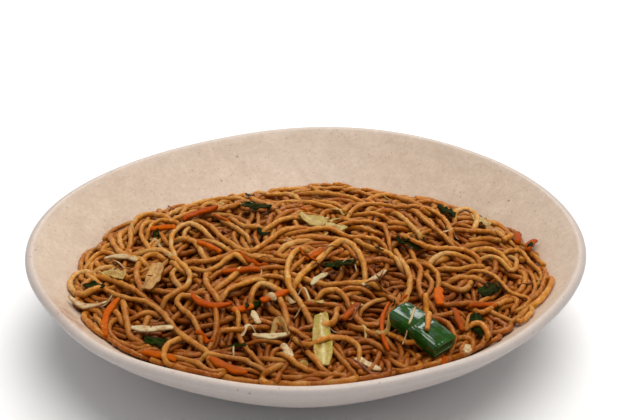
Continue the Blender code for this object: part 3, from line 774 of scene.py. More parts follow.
def lay_noodles():
    rng = np.random.default_rng(NOODLE_SEED)
    tangle = Tangle()
    relief = traced_noodles(tangle, rng)
    loose_noodles(tangle, rng)
    edge_noodles(tangle, rng)
    tangle.freeze()
    tops, undersides = topping_maps()
    ceiling = noodle_ceiling(relief, rng)
    rounds = SETTLE_ROUNDS
    points = settle(tangle, ceiling, tops, undersides, rounds)
    return tangle, tangle.split(points)


# Noodle tubes
NOODLE_PIECES = ("noodles_a", "noodles_b", "noodles_c")
TUBE_SIDES = 9
TUBE_STEP = 0.0014
TUBE_FLATNESS = (0.84, 0.98)
TUBE_WAVER = 0.06
TUBE_LUMPS = 0.06
NOODLE_WIDTHS = (0.80, 1.08)
NOODLE_TONES = ((0.30, 1.00), (0.00, 0.70))
# Painted shade: the noodles' tone runs darker to the right and towards the front
PAINTED_SHADE_SLOPE = np.array([1.2, -2.6])
# Painted shade: how much darker the noodles grow towards the front, and from where
PAINTED_FRONT_SHADE = 4.5
PAINTED_SHADE_FROM = -0.020
TUBE_KINK = 0.00016
KINK_LENGTHS = (0.004, 0.010)
WAVER_LENGTHS = ((0.012, 0.030), (0.004, 0.008))
FINE_WAVER = 0.6
LEAST_LENGTH = 1e-9
UPRIGHT_LIMIT = 1e-3
TUBE_TWIST = 0.03
MOST_LUMP = 0.1
CAP_PLACE = 0.25
CAP_WIDTH = 0.75
TIP_PLACE = 0.1


def tube(points, radii, sides, flatness, turn, twist):
    """Rings of a tube about a line: vertices and quads."""
    count = len(points)
    ahead = np.gradient(points, axis=0)
    ahead /= np.maximum(np.linalg.norm(ahead, axis=1), LEAST_LENGTH)[:, None]
    side = np.cross(ahead[0], [0.0, 0.0, 1.0])
    if np.linalg.norm(side) < UPRIGHT_LIMIT:
        side = np.array([1.0, 0.0, 0.0])
    frames = []
    for direction in ahead:
        side = side - direction * np.dot(side, direction)
        side = side / max(np.linalg.norm(side), LEAST_LENGTH)
        frames.append((side, np.cross(direction, side)))
    angles = np.arange(sides) * math.tau / sides
    vertices = []
    for i in range(count):
        lean = turn + twist * i
        wide = np.cos(angles) * radii[i]
        tall = np.sin(angles) * radii[i] * flatness
        a = wide * math.cos(lean) - tall * math.sin(lean)
        b = wide * math.sin(lean) + tall * math.cos(lean)
        vertices.append(points[i] + a[:, None] * frames[i][0] + b[:, None] * frames[i][1])
    vertices = np.vstack(vertices)
    ring = np.arange(sides)
    first = (np.arange(count - 1)[:, None] * sides + ring).ravel()
    second = (np.arange(count - 1)[:, None] * sides + (ring + 1) % sides).ravel()
    return vertices, np.column_stack([first, second, second + sides, first + sides])


def capped_tube(points, radii, sides, flatness, turn, twist):
    """A tube whose ends are rounded off, closed by a fan at each."""
    ahead = points[1] - points[0]
    behind = points[-2] - points[-1]
    ahead /= np.linalg.norm(ahead)
    behind /= np.linalg.norm(behind)
    first = points[0] - ahead * radii[0] * CAP_PLACE
    final = points[-1] - behind * radii[-1] * CAP_PLACE
    points = np.vstack([first, points, final])
    radii = np.concatenate([[radii[0] * CAP_WIDTH], radii, [radii[-1] * CAP_WIDTH]])
    vertices, quads = tube(points, radii, sides, flatness, turn, twist)
    last = len(vertices)
    tips = np.vstack([points[0] - ahead * radii[0] * TIP_PLACE, points[-1] - behind * radii[-1] * TIP_PLACE])
    ring = np.arange(sides)
    following = (ring + 1) % sides
    start = np.column_stack([np.full(sides, last), following, ring])
    end = np.column_stack([np.full(sides, last + 1), last - sides + ring, last - sides + following])
    faces = [tuple(face) for part in (quads, start, end) for face in part]
    return np.vstack([vertices, tips]), faces


class Pile:
    """Many small shapes gathered into one mesh, with values for each vertex."""

    def __init__(self):
        self.vertices, self.faces, self.values = [], [], {}
        self.count = 0

    def add(self, vertices, faces, **values):
        self.vertices.append(np.asarray(vertices, float))
        self.faces += [tuple(int(i) + self.count for i in face) for face in faces]
        self.count += len(vertices)
        for name, value in values.items():
            held = np.broadcast_to(np.asarray(value, float), (len(vertices),))
            self.values.setdefault(name, []).append(held)

    def build(self, name, material):
        mesh = bpy.data.meshes.new(name)
        mesh.from_pydata(np.vstack(self.vertices).tolist(), [], self.faces)
        for key, parts in self.values.items():
            attribute = mesh.attributes.new(key, "FLOAT", "POINT")
            attribute.data.foreach_set("value", np.concatenate(parts).astype(np.float32))
        mesh.shade_smooth()
        mesh.materials.append(material)
        thing = bpy.data.objects.new(name, mesh)
        bpy.context.scene.collection.objects.link(thing)
        return thing


def uneven(rng, along, lengths):
    """A random wavy line from about -1 to 1, of waves between two lengths."""
    total = np.zeros_like(along)
    for _ in range(3):
        total += np.sin(math.tau * along / rng.uniform(*lengths) + rng.uniform(0.0, math.tau))
    return total / 2.0


def make_noodles(tangle, chains, materials):
    rng = np.random.default_rng(NOODLE_SEED + 1)
    piles = [Pile() for _ in NOODLE_PIECES]
    for number, chain in enumerate(chains):
        for _ in range(2):
            chain[1:-1] = 0.5 * chain[1:-1] + 0.25 * (chain[:-2] + chain[2:])
        line = resample(chain, TUBE_STEP)
        along = np.arange(len(line)) * TUBE_STEP
        line = line + TUBE_KINK * np.column_stack([uneven(rng, along, KINK_LENGTHS) for _ in range(3)])
        width = NOODLE_RADIUS * rng.uniform(*NOODLE_WIDTHS)
        broad, fine = [uneven(rng, along, lengths) for lengths in WAVER_LENGTHS]
        radii = width * (1.0 + TUBE_WAVER * (broad + FINE_WAVER * fine))
        # How far below the heap's surface each ring lies: lower noodles take more of the dark colour, partly
        # sauce and partly painted shade
        depth = (heap_height(line[:, 0], line[:, 1]) + SURFACE_LIFT - line[:, 2]) / CORE_DEPTH
        flatness = rng.uniform(*TUBE_FLATNESS)
        turn = rng.uniform(0, math.pi)
        vertices, faces = capped_tube(line, radii, TUBE_SIDES, flatness, turn, TUBE_TWIST)
        rings = np.vstack([line[:1], line, line[-1:]]).repeat(TUBE_SIDES, axis=0)
        body = vertices[: len(rings)]
        lumps = np.clip(rng.normal(0.0, TUBE_LUMPS, len(rings)), -MOST_LUMP, MOST_LUMP)
        vertices[: len(rings)] = body + lumps[:, None] * (body - rings)
        # Painted shade: towards the front the noodles count as deeper, so they take more of the dark colour
        depth = depth + PAINTED_FRONT_SHADE * np.maximum(0.0, PAINTED_SHADE_FROM - line[:, 1])
        deep = np.concatenate([depth[:1], depth, depth[-1:]])
        deep = np.concatenate([np.repeat(deep, TUBE_SIDES), depth[:1], depth[-1:]])
        # Each noodle's tone is random, with painted shade added: darker to the right and towards the front
        tone = rng.uniform(*NOODLE_TONES[tangle.kinds[number]]) + vertices[:, :2] @ PAINTED_SHADE_SLOPE
        piles[number % len(piles)].add(vertices, faces, tone=tone, deep=np.clip(deep, 0.0, 1.0))
    return [pile.build(name, material) for pile, name, material in zip(piles, NOODLE_PIECES, materials)]


def grid_faces(rows, columns, wrap=False):
    faces = []
    across = columns if wrap else columns - 1
    for i in range(rows - 1):
        for j in range(across):
            a = i * columns + j
            b = i * columns + (j + 1) % columns
            faces.append((a, b, b + columns, a + columns))
    return faces


# The heap's inside, under the noodles that show
BED_SHARE = 0.94
BED_FRONT = 0.05
BED_SEGMENTS = 96
BED_RINGS = 30
BED_CROWDING = 0.8
BED_HOLE = 0.002
BED_GAP = 0.0006


def make_core(material):
    """The inside of the heap, a little below the noodles that show, dark with sauce and painted shade."""
    rows = []
    theta = np.arange(BED_SEGMENTS) * math.tau / BED_SEGMENTS
    for share in np.linspace(0.0, 1.0, BED_RINGS) ** BED_CROWDING:
        radius = np.maximum(share, BED_HOLE) * heap_edge(theta) * (BED_SHARE + BED_FRONT * frontness(theta))
        x, y = to_plan(theta, radius)
        z = np.maximum(heap_height(x, y) - CORE_DEPTH, inner_height(radius) + BED_GAP)
        rows.append(np.column_stack([x, y, z]))
    pile = Pile()
    pile.add(np.vstack(rows), grid_faces(BED_RINGS, BED_SEGMENTS, wrap=True))
    return pile.build("noodle_bed", material)


# Bowl
BOWL_SEGMENTS = 192
HAND_UNEVEN = 0.00022
BOWL_SEED = 3
FLOOR_RADII = (0.0005, 0.02, 0.04, 0.05)
WALL_ROWS = 26
LIP_STEPS = 10
INSIDE_ROWS = 35
OUTSIDE_SHADE_ROWS = (28, 34)
FOOT_EDGE = 0.0008
FOOT_EASE = 0.3
STAIN_ANGLE = math.radians(-149.0)
STAIN_WIDTH = 0.016
STAIN_RADIUS = 0.1185
STAIN_REACH = 0.004
OIL_REACH = 0.003
HAND_WAVES = (5, 7, 11)


def bowl_profile():
    steps = np.linspace(0.0, 1.0, WALL_ROWS)
    inside = np.column_stack(wall_point(steps, WALL / 2))
    swell = WALL_SWELL * np.sin(math.pi * steps[::-1] ** WALL_POWER)
    outside = np.column_stack(wall_point(steps[::-1], -WALL / 2 - swell))
    radius, height, slope = wall_line(1.0)
    turns = slope + math.pi / 2 - math.pi * np.arange(1, LIP_STEPS) / LIP_STEPS
    lip = np.column_stack([radius + WALL / 2 * np.cos(turns), height + WALL / 2 * np.sin(turns)])
    foot_in = FOOT_RADIUS - FOOT_WIDTH
    floor = [(radius, FOOT_HEIGHT + WALL) for radius in FLOOR_RADII]
    foot = [
        (FOOT_RADIUS - FOOT_TAPER * FOOT_EASE, FOOT_EDGE),
        (FOOT_RADIUS - FOOT_TAPER, 0.0),
        (foot_in + FOOT_TAPER, 0.0),
        (foot_in, FOOT_EDGE / 2),
        (foot_in - FOOT_TAPER, FOOT_RECESS),
        (FLOOR_RADII[1], FOOT_RECESS),
        (FLOOR_RADII[0], FOOT_RECESS),
    ]
    return np.vstack([floor, inside, lip, outside, foot])


def make_bowl(material):
    rng = np.random.default_rng(BOWL_SEED)
    profile = bowl_profile()
    theta = np.arange(BOWL_SEGMENTS) * math.tau / BOWL_SEGMENTS
    phases = rng.uniform(0.0, math.tau, len(HAND_WAVES))
    rows = []
    for radius, height in profile:
        along = height / BOWL_HEIGHT
        waver = sum(np.sin(k * theta + p + 3.0 * along) for k, p in zip(HAND_WAVES, phases)) / 3
        x, y = to_plan(theta, radius + HAND_UNEVEN * waver * along)
        rows.append(np.column_stack([x, y, np.full_like(x, height)]))
    vertices = np.vstack(rows)
    faces = [face[::-1] for face in grid_faces(len(profile), BOWL_SEGMENTS, wrap=True)]
    faces.append(tuple(range(BOWL_SEGMENTS)))
    last = (len(profile) - 1) * BOWL_SEGMENTS
    faces.append(tuple(last + i for i in reversed(range(BOWL_SEGMENTS))))
    around, reach = from_plan(vertices[:, 0], vertices[:, 1])
    off = np.abs((around - STAIN_ANGLE + math.pi) % math.tau - math.pi) * RIM_RADIUS
    row = np.arange(len(profile)).repeat(BOWL_SEGMENTS)
    inside = row < INSIDE_ROWS
    stain = np.exp(-((off / STAIN_WIDTH) ** 2)) * np.exp(-(((reach - STAIN_RADIUS) / STAIN_REACH) ** 2))
    oil = np.exp(-np.maximum(reach - heap_edge(around), 0.0) / OIL_REACH)
    # The outer wall: a greyer glaze, darkened with painted shade
    grey_and_shade = np.interp(row, OUTSIDE_SHADE_ROWS, (0.0, 1.0))
    pile = Pile()
    pile.add(vertices, faces, stain=stain * inside, oil=oil * inside, outside=grey_and_shade)
    return pile.build("stoneware_bowl", material)


# Toppings, in millimetres and degrees: middle x and y, heading, length, bow to the left and width, as in the
# part, then how browned each is
CARROTS = (
    (-53, 29, 44, 22, 0.7, 3.6, 0.1),
    (-70, 14, -7, 13, 0.0, 3.4, 0.1),
    (-42, -54, -25, 20, -4.6, 3.6, 0.2),
    (-28, -61, 24, 10, 0.0, 3.6, 0.0),
    (-14, -51, 34, 15, -0.5, 3.4, 0.1),
    (-86, -60, -96, 26, -2.9, 3.2, 0.2),
    (-30, -31, 2, 18, 0.0, 3.2, 0.5),
    (-46, -10, -40, 15, 0.7, 3.0, 0.2),
    (4, -18, 45, 12, -0.5, 3.2, 0.35),
    (-62, -91, -23, 16, 0.2, 3.4, 0.55),
    (-33, -97, -27, 19, -1.3, 4.0, 0.75),
    (60, -50, -91, 13, -0.5, 4.4, 0.0),
    (36, -73, -93, 34, -3.1, 2.0, 0.35),
    (67, -66, -79, 15, 0.0, 3.0, 0.75),
    (79, -53, 14, 13, 0.8, 3.0, 0.55),
    (20, -63, 60, 15, 0.0, 3.0, 0.6),
    (104, 14, 80, 13, 0.0, 3.2, 0.3),
    (110, 8, 66, 15, 0.6, 3.6, 0.5),
)
CABBAGE_LEAVES = (
    (7, -82, -88, 34, 0.0, 8.5, 0.05),
    (8, 12, -38, 27, -2.6, 9.0, 0.25),
    (-90, -26, -38, 14, 1.9, 7.0, 0.5),
    (-71, -32, -101, 21, 1.0, 7.5, 1.0),
    (87, 30, -70, 15, 1.5, 7.0, 0.35),
)
CABBAGE_RIBS = (
    (-67, -71, -7, 19, -0.9, 3.8, 0.15),
    (-99, -45, -18, 19, -4.0, 3.4, 0.3),
    (-88, -11, -24, 18, 3.0, 3.6, 0.6),
    (-15, -78, 4, 16, -0.9, 3.2, 0.55),
    (-22, -67, -70, 9, 0.0, 3.2, 0.0),
    (-8, -88, -63, 9, 0.0, 3.6, 0.1),
    (26, -98, -36, 13, 0.0, 3.2, 0.35),
    (6, -39, 54, 12, 0.9, 3.0, 0.55),
    (31, -38, 45, 16, 0.0, 2.8, 0.5),
    (69, -86, -100, 10, 0.0, 3.6, 0.7),
)
GREEN_LEAVES = (
    (-25, 34, -30, 16, -1.4, 7.0, 0.0),
    (-98, -33, -28, 11, 0.0, 5.5, 0.0),
    (-64, -82, -29, 13, 0.0, 5.5, 0.0),
    (77, -69, -79, 18, -1.5, 6.5, 0.0),
    (84, -38, 49, 15, 0.0, 7.0, 0.0),
    (50, -5, -27, 15, -0.5, 7.5, 0.0),
    (70, 40, -70, 12, 0.0, 5.0, 0.0),
    (15, -27, 10, 13, 0.8, 5.0, 0.0),
)
ONION_PLACE = (0.050, -0.079)
ONION_HEADING = -46.0
ONION_DIP = 9.0
ONION_LENGTH = 0.026
ONION_WIDTH = 0.0135
ONION_HEIGHT = 0.0080
ONION_WALL = 0.0010
ONION_BEND = 0.0008
ONION_CORNERS = 72
ONION_ROWS = 40
ONION_SQUARENESS = (0.60, 0.45)
ONION_CREASE = 0.10
CREASE_PLACE = 0.02
CREASE_SPAN = 0.05
ONION_CUT = 0.0012
CUT_POWER = 8
ONION_RIBS = ((0.018, 13), (0.01, 29))
RIB_TWIST = 3
TOPPING_SEED = 21


def strip_frame(row, t):
    """Plan place and leftward direction at each share of a strip's length."""
    x, y, heading, length, bow, _, _ = row
    turn = math.radians(heading)
    ahead = np.array([math.cos(turn), math.sin(turn)])
    left = np.array([-ahead[1], ahead[0]])
    curve = bow * (1.0 - (2.0 * t - 1.0) ** 2)
    place = np.array([x, y]) + np.outer(length * (t - 0.5), ahead) + np.outer(curve, left)
    return place / 1000.0, left


def node_tops(name, places):
    """Heights of a topping's top at several places, those past its edge taken from the nearest that hit."""
    heights = np.array([surface_over(name, x, y) or np.nan for x, y in places])
    known = np.nonzero(~np.isnan(heights))[0]
    if not len(known):
        return np.full(len(places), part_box(name)[1].z)
    for i in np.nonzero(np.isnan(heights))[0]:
        nearest = known[np.argmin(np.sum((places[known] - places[i]) ** 2, axis=1))]
        heights[i] = heights[nearest]
    return heights


def eased(values, rounds):
    for _ in range(rounds):
        padded = np.pad(values, 1, mode="edge")
        values = (padded[:-2] + 2 * padded[1:-1] + padded[2:]) / 4
    return values


STRIP_ROWS = 26
STRIP_CORNERS = 14
STRIP_SQUARENESS = 0.55
STRIP_UNEVEN = 0.07
STRIP_THINNING = 0.25
STRIP_LEAN = 0.25
STRIP_TWIST = 0.35
CRUMPLE_LEAN = 2.5
CRUMPLE_SWAY = 0.0022
LEAN_HEIGHT = 0.6
WAVE_STARTS = (0, 6)
WIDTH_WAVES = (9, 16)
LEAN_WAVES = (9, 14)
SWAY_WAVES = (11, 17)
LEAF_ROWS = 40
LEAF_COLUMNS = 13
LEAF_TAPER = 0.5
LEAF_POINTED = 2.5
LEAF_TEARS = (1, 2, 3, 4)
TEAR_FADE = 0.6
RUFFLE_POWER = 1.5
BRANCH_ENDS = (0.1, 0.9)
TEAR_SIZE = 2.2
RUFFLES = ((1.0, 1.6, 2.6, 1.2), (0.35, 3.5, 5.0, -2.0))
VEIN_WIDTHS = (0.16, 0.22)
BRANCH_COLOUR = 0.4
LEAF_BRANCHES = 7
BRANCH_SLANT = 0.16
BRANCH_WIDTH = 0.018
BRANCH_SHARE = 0.35
UPRIGHT = np.array([0.0, 0.0, 1.0])


def squared(values, power):
    """A circle's sines or cosines, drawn out towards a square's."""
    return np.sign(values) * np.abs(values) ** power


def wavy(t, rng, span):
    return np.sin(rng.uniform(*span) * t + rng.uniform(*WAVE_STARTS))


def julienne(name, row, rng, pile, thickness, taper, crumple):
    """A rounded square-cut strip, a little twisted and uneven, over its solid."""
    t = np.linspace(0.0, 1.0, STRIP_ROWS)
    off = np.abs(2 * t - 1)
    places, left = strip_frame(row, t)
    top = eased(node_tops(name, places), 4)
    across, browned = row[-2:]
    width = across / 2000.0 * (1.0 - taper * off**4)
    width = width * (1.0 + (STRIP_UNEVEN + crumple) * wavy(t, rng, WIDTH_WAVES))
    half = thickness / 2 * (1.0 - STRIP_THINNING * off**6)
    lean = rng.uniform(-STRIP_LEAN, STRIP_LEAN) + rng.uniform(-STRIP_TWIST, STRIP_TWIST) * t
    lean = lean + CRUMPLE_LEAN * crumple * wavy(t, rng, LEAN_WAVES)
    places = places + CRUMPLE_SWAY * crumple * wavy(t, rng, SWAY_WAVES)[:, None] * left
    angles = np.arange(STRIP_CORNERS) * math.tau / STRIP_CORNERS
    square_x = squared(np.cos(angles), STRIP_SQUARENESS)
    square_y = squared(np.sin(angles), STRIP_SQUARENESS)
    rows = []
    for i in range(STRIP_ROWS):
        across = square_x * width[i] * math.cos(lean[i]) - square_y * half[i] * math.sin(lean[i])
        up = square_x * width[i] * math.sin(lean[i]) * LEAN_HEIGHT + square_y * half[i] * math.cos(lean[i])
        middle = np.array([*places[i], top[i] - half[i]])
        rows.append(middle + across[:, None] * np.array([*left, 0.0]) + up[:, None] * UPRIGHT)
    vertices = np.vstack([*rows, rows[0].mean(axis=0), rows[-1].mean(axis=0)])
    faces = grid_faces(STRIP_ROWS, STRIP_CORNERS, wrap=True)
    last = STRIP_ROWS * STRIP_CORNERS
    ring = [(i, (i + 1) % STRIP_CORNERS) for i in range(STRIP_CORNERS)]
    faces += [(last, following, i) for i, following in ring]
    end = last - STRIP_CORNERS
    faces += [(last + 1, end + i, end + following) for i, following in ring]
    pile.add(vertices, faces, tone=rng.uniform(0.0, 1.0), browned=browned)


def leaf(name, row, rng, pile, ruffle, vein, ragged, thickness):
    """A thin torn leaf with a raised vein, ruffled towards its ragged sides, over its solid."""
    along, across = LEAF_ROWS, LEAF_COLUMNS
    broad, browned = row[-2:]
    t = np.linspace(0.0, 1.0, along)
    side = np.linspace(-1.0, 1.0, across)
    off = np.abs(side)
    places, left = strip_frame(row, t)
    body = 1.0 - LEAF_TAPER * np.abs(2 * t - 1) ** LEAF_POINTED
    edges = []
    for _ in range(2):
        tear = sum(np.sin(k * math.tau * t + rng.uniform(*WAVE_STARTS)) / k**TEAR_FADE for k in LEAF_TEARS)
        edges.append(body * (1.0 + ragged * tear / TEAR_SIZE))
    plan = np.empty((along, across, 2))
    for i in range(along):
        reach = np.where(side < 0, edges[0][i], edges[1][i]) * side * broad / 2000.0
        plan[i] = places[i] + reach[:, None] * left
    top = node_tops(name, plan.reshape(-1, 2)).reshape(along, across)
    top = np.apply_along_axis(eased, 0, top, 4)
    top = np.apply_along_axis(eased, 1, top, 2)
    wave = 0.0
    for (high, fewest, most, slant), phase in zip(RUFFLES, rng.uniform(*WAVE_STARTS, 3)):
        turns = math.tau * t[:, None] * rng.uniform(fewest, most)
        wave = wave + high * np.sin(turns + phase + slant * side)
    lift = ruffle * off**RUFFLE_POWER * wave
    ridge = vein * np.exp(-((side / VEIN_WIDTHS[0]) ** 2))
    for branch in np.linspace(*BRANCH_ENDS, LEAF_BRANCHES):
        line = np.abs(t[:, None] - branch - BRANCH_SLANT * off)
        ridge = ridge + BRANCH_SHARE * vein * np.exp(-((line / BRANCH_WIDTH) ** 2)) * (1 - off) ** 0.5
    upper = np.dstack([plan, top + lift + ridge])
    lower = upper - UPRIGHT * (thickness * (1.0 - 0.5 * off))[None, :, None]
    middle = np.broadcast_to(np.exp(-((side / VEIN_WIDTHS[1]) ** 2)), (along, across))
    veined = np.clip(middle + ridge / vein * BRANCH_COLOUR, 0, 1)
    vertices = np.vstack([upper.reshape(-1, 3), lower.reshape(-1, 3)])
    count = along * across
    faces = grid_faces(along, across)
    faces += [tuple(count + i for i in reversed(face)) for face in grid_faces(along, across)]
    borders = (
        (range(0, count, across), True),
        (range(across - 1, count, across), False),
        (range(across), False),
        (range(count - across, count), True),
    )
    for border, turned in borders:
        for a, b in zip(border[:-1], border[1:]):
            face = (a, b, b + count, a + count)
            faces.append(face if turned else face[::-1])
    veins = np.tile(veined.ravel(), 2)
    pile.add(vertices, faces, vein=veins, tone=rng.uniform(0.0, 1.0), browned=browned)


def spring_onion(material):
    """A flattened leafy tube, ribbed along its length and open at both cut ends."""
    around, along = ONION_CORNERS, ONION_ROWS
    low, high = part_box("spring_onion")
    turn = math.radians(ONION_HEADING)
    ahead = np.array([math.cos(turn), math.sin(turn), 0.0])
    left = np.array([-ahead[1], ahead[0], 0.0])
    middle = np.array([*ONION_PLACE, (low.z + high.z) / 2 - ONION_BEND / 2])
    angles = np.arange(around) * math.tau / around
    (broad, broad_count), (fine, fine_count) = ONION_RIBS
    flat_x = squared(np.cos(angles), ONION_SQUARENESS[0])
    flat_y = squared(np.sin(angles), ONION_SQUARENESS[1])
    shells = []
    for inset in (0.0, ONION_WALL):
        rows = []
        for t in np.linspace(-0.5, 0.5, along):
            rib = 1.0 + broad * np.sin(angles * broad_count)
            rib = rib + fine * np.sin(angles * fine_count + RIB_TWIST * t)
            crease = 1.0 - ONION_CREASE * math.exp(-(((t - CREASE_PLACE) / CREASE_SPAN) ** 2))
            across = flat_x * (ONION_WIDTH / 2 - inset) * rib
            up = flat_y * (ONION_HEIGHT / 2 - inset) * rib * crease
            bend = ONION_BEND * (1.0 - 4.0 * t * t) - t * ONION_LENGTH * math.tan(math.radians(ONION_DIP))
            cut = ONION_CUT * np.sin(angles) * (1 if t > 0 else -1) * abs(2 * t) ** CUT_POWER
            row = middle + np.outer(t * ONION_LENGTH + cut, ahead)
            rows.append(row + np.outer(across, left) + np.outer(up + bend, UPRIGHT))
        shells.append(np.vstack(rows))
    count = around * along
    faces = grid_faces(along, around, wrap=True)
    faces += [tuple(count + i for i in reversed(face)) for face in grid_faces(along, around, wrap=True)]
    end = count - around
    for i in range(around):
        j = (i + 1) % around
        faces.append((i, count + i, count + j, j))
        faces.append((end + i, end + j, count + end + j, count + end + i))
    pile = Pile()
    share = np.tile(angles / math.tau, 2 * along)
    pile.add(np.vstack(shells), faces, inner=np.repeat([0.0, 1.0], count), around=share)
    return pile.build("spring_onion_tube", material)


# Toppings: the scene's piece, the kind of node, its look, its slot, its rows, its shape and the values for it
TOPPINGS = (
    ("carrots", "carrot", "carrot", "carrot", CARROTS, julienne,
     {"thickness": 0.0020, "taper": 0.40, "crumple": 0.05}),
    ("cabbage_leaves", "cabbage_leaf", "cabbage", "cabbage", CABBAGE_LEAVES, leaf,
     {"ruffle": 0.0006, "vein": 0.0005, "ragged": 0.14, "thickness": 0.0009}),
    ("cabbage_ribs", "cabbage_rib", "rib", "cabbage_rib", CABBAGE_RIBS, julienne,
     {"thickness": 0.0014, "taper": 0.55, "crumple": 0.05}),
    ("green_leaves", "green_leaf", "green", "green_leaf", GREEN_LEAVES, leaf,
     {"ruffle": 0.0004, "vein": 0.0002, "ragged": 0.12, "thickness": 0.0007}),
)


def make_toppings(materials):
    rng = np.random.default_rng(TOPPING_SEED)
    made = []
    for piece, kind, look, slot, rows, shape, values in TOPPINGS:
        pile = Pile()
        for number, row in enumerate(rows, 1):
            shape(f"{kind}_{number:02d}", row, rng, pile, **values)
        thing = pile.build(piece, materials[look])
        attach(thing, "root")
        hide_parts(*nodes_of_kind(kind))
        made.append(thing)
    onion = spring_onion(materials["onion"])
    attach(onion, "root")
    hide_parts("spring_onion")
    return [*made, onion]


# Scraps: kind, width in millimetres, and across and down in pixels along the middle of each
SCRAPS = (
    ("rib", 1.1, 419, 311, 411, 319, 403, 327),
    ("noodle", 2.7, 425, 306, 428, 312, 430, 318, 429, 325, 427, 332),
    ("rib", 3.6, 263, 301, 269, 306, 276, 312),
    ("rib", 2.2, 241, 336, 250, 339, 260, 341),
    ("rib", 1.6, 294, 320, 298, 317, 303, 315),
    ("rib", 0.8, 233, 344, 234, 349, 233, 354),
    ("rib", 1.2, 296, 292, 304, 297, 312, 304),
    ("rib", 2.4, 288, 300, 293, 304, 296, 310),
    ("rib", 3.0, 113, 262, 121, 265, 130, 272),
    ("rib", 2.6, 96, 300, 106, 298, 113, 301),
    ("rib", 1.2, 343, 262, 352, 268, 357, 277),
    ("rib", 1.6, 150, 240, 158, 243, 166, 249),
    ("rib", 2.6, 483, 222, 491, 228, 498, 236),
    ("cabbage", 3.6, 271, 331, 279, 331, 288, 334),
    ("cabbage", 4.5, 308, 299, 315, 300, 322, 303),
    ("cabbage", 3.0, 300, 361, 304, 363, 307, 366),
    ("cabbage", 3.2, 352, 304, 360, 300, 370, 298),
    ("cabbage", 3.4, 332, 212, 341, 215, 350, 214),
    ("cabbage", 3.0, 322, 226, 330, 222, 339, 222),
    ("cabbage", 2.4, 376, 330, 384, 333, 392, 332),
    ("green", 2.4, 351, 258, 354, 260, 356, 263),
    ("green", 2.2, 527, 247, 530, 250, 531, 253),
    ("green", 2.8, 154, 238, 157, 240, 160, 243),
    ("green", 3.0, 449, 210, 452, 214, 454, 220),
    ("green", 2.6, 246, 194, 250, 196, 254, 195),
    ("green", 3.0, 258, 232, 264, 235, 270, 233),
    ("green", 3.2, 404, 238, 412, 241, 421, 247),
    ("green", 3.4, 246, 308, 254, 312, 264, 314),
    ("green", 3.0, 228, 345, 236, 348, 246, 346),
    ("green", 2.6, 373, 245, 379, 248, 384, 250),
    ("carrot", 2.6, 196, 336, 203, 338, 212, 341),
    ("carrot", 2.0, 436, 356, 441, 357, 446, 359),
    ("carrot", 2.2, 240, 261, 254, 263, 268, 268),
    ("carrot", 1.8, 300, 252, 309, 256, 317, 262),
    ("carrot", 2.0, 423, 300, 427, 306, 429, 312),
    ("carrot", 1.8, 214, 216, 222, 219, 231, 224),
    ("crisp", 1.3, 311, 266, 318, 272, 325, 276, 332, 281),
    ("crisp", 1.1, 365, 268, 372, 274, 379, 277, 385, 280),
    ("crisp", 1.3, 365, 292, 374, 289, 382, 291, 389, 295),
    ("crisp", 1.6, 355, 360, 362, 366, 371, 370, 380, 375),
    ("crisp", 1.5, 168, 203, 171, 208, 173, 214),
    ("crisp", 1.2, 392, 288, 398, 293, 404, 300),
    ("crisp", 1.2, 445, 296, 455, 300, 463, 304),
    ("crisp", 1.4, 470, 292, 479, 288, 488, 288),
    ("crisp", 1.3, 345, 318, 354, 314, 361, 307),
    ("crisp", 1.2, 285, 345, 295, 350, 306, 352),
    ("crisp", 1.4, 518, 284, 526, 287, 533, 285),
    ("crisp", 1.2, 386, 226, 394, 232, 401, 240),
)
# Each kind of scrap: slot, flatness, taper, greatest turn, least browning
SCRAP_KINDS = {
    "noodle": ("noodle", 0.92, 0.12, 0.0, 0.0),
    "crisp": ("carrot", 0.45, 0.60, 0.7, 0.0),
    "rib": ("cabbage_rib", 0.26, 0.55, 0.7, 0.6),
    "green": ("green_leaf", 0.16, 0.70, 0.6, 0.3),
    "carrot": ("carrot", 0.60, 0.35, 0.5, 0.3),
    "cabbage": ("cabbage", 0.20, 0.60, 0.5, 0.35),
}
SCATTERED = (("crisp", 34), ("rib", 16), ("green", 12), ("carrot", 8), ("cabbage", 12))
SCATTER_LENGTH = (0.003, 0.009)
SCATTER_WIDTH = (0.0006, 0.0017)
SCATTER_REACH = 0.93
SCRAP_STEP = 0.0008
SCATTER_BOW = 0.4
MORE_BROWNED = 0.4
SCRAP_SIDES = 8
DROP_FROM = 0.2
SCRAP_EASING = (12, 3)
SCRAP_UNEVEN = 0.10
SCRAP_WAVES = (8, 15)
SCRAP_TWIST = 0.04
MOST_VEIN = 0.6
SCRAP_SEED = 5


def drop(grounds, x, y):
    """The height of what lies uppermost at this place."""
    hits = [tree.ray_cast(Vector((x, y, DROP_FROM)), Vector((0.0, 0.0, -1.0)))[0] for tree in grounds]
    heights = [hit.z for hit in hits if hit is not None]
    return max(heights, default=float(heap_height(x, y)))


def under_pixel(grounds, px, py):
    """The place on what lies uppermost that a pixel looks at."""
    ray = pixel_ray(px, py)
    spot = on_heap(px, py, SURFACE_LIFT)
    for _ in range(3):
        height = drop(grounds, spot[0], spot[1])
        spot = CAMERA_PLACE + ray * ((height - CAMERA_PLACE[2]) / ray[2])
    return spot[:2]


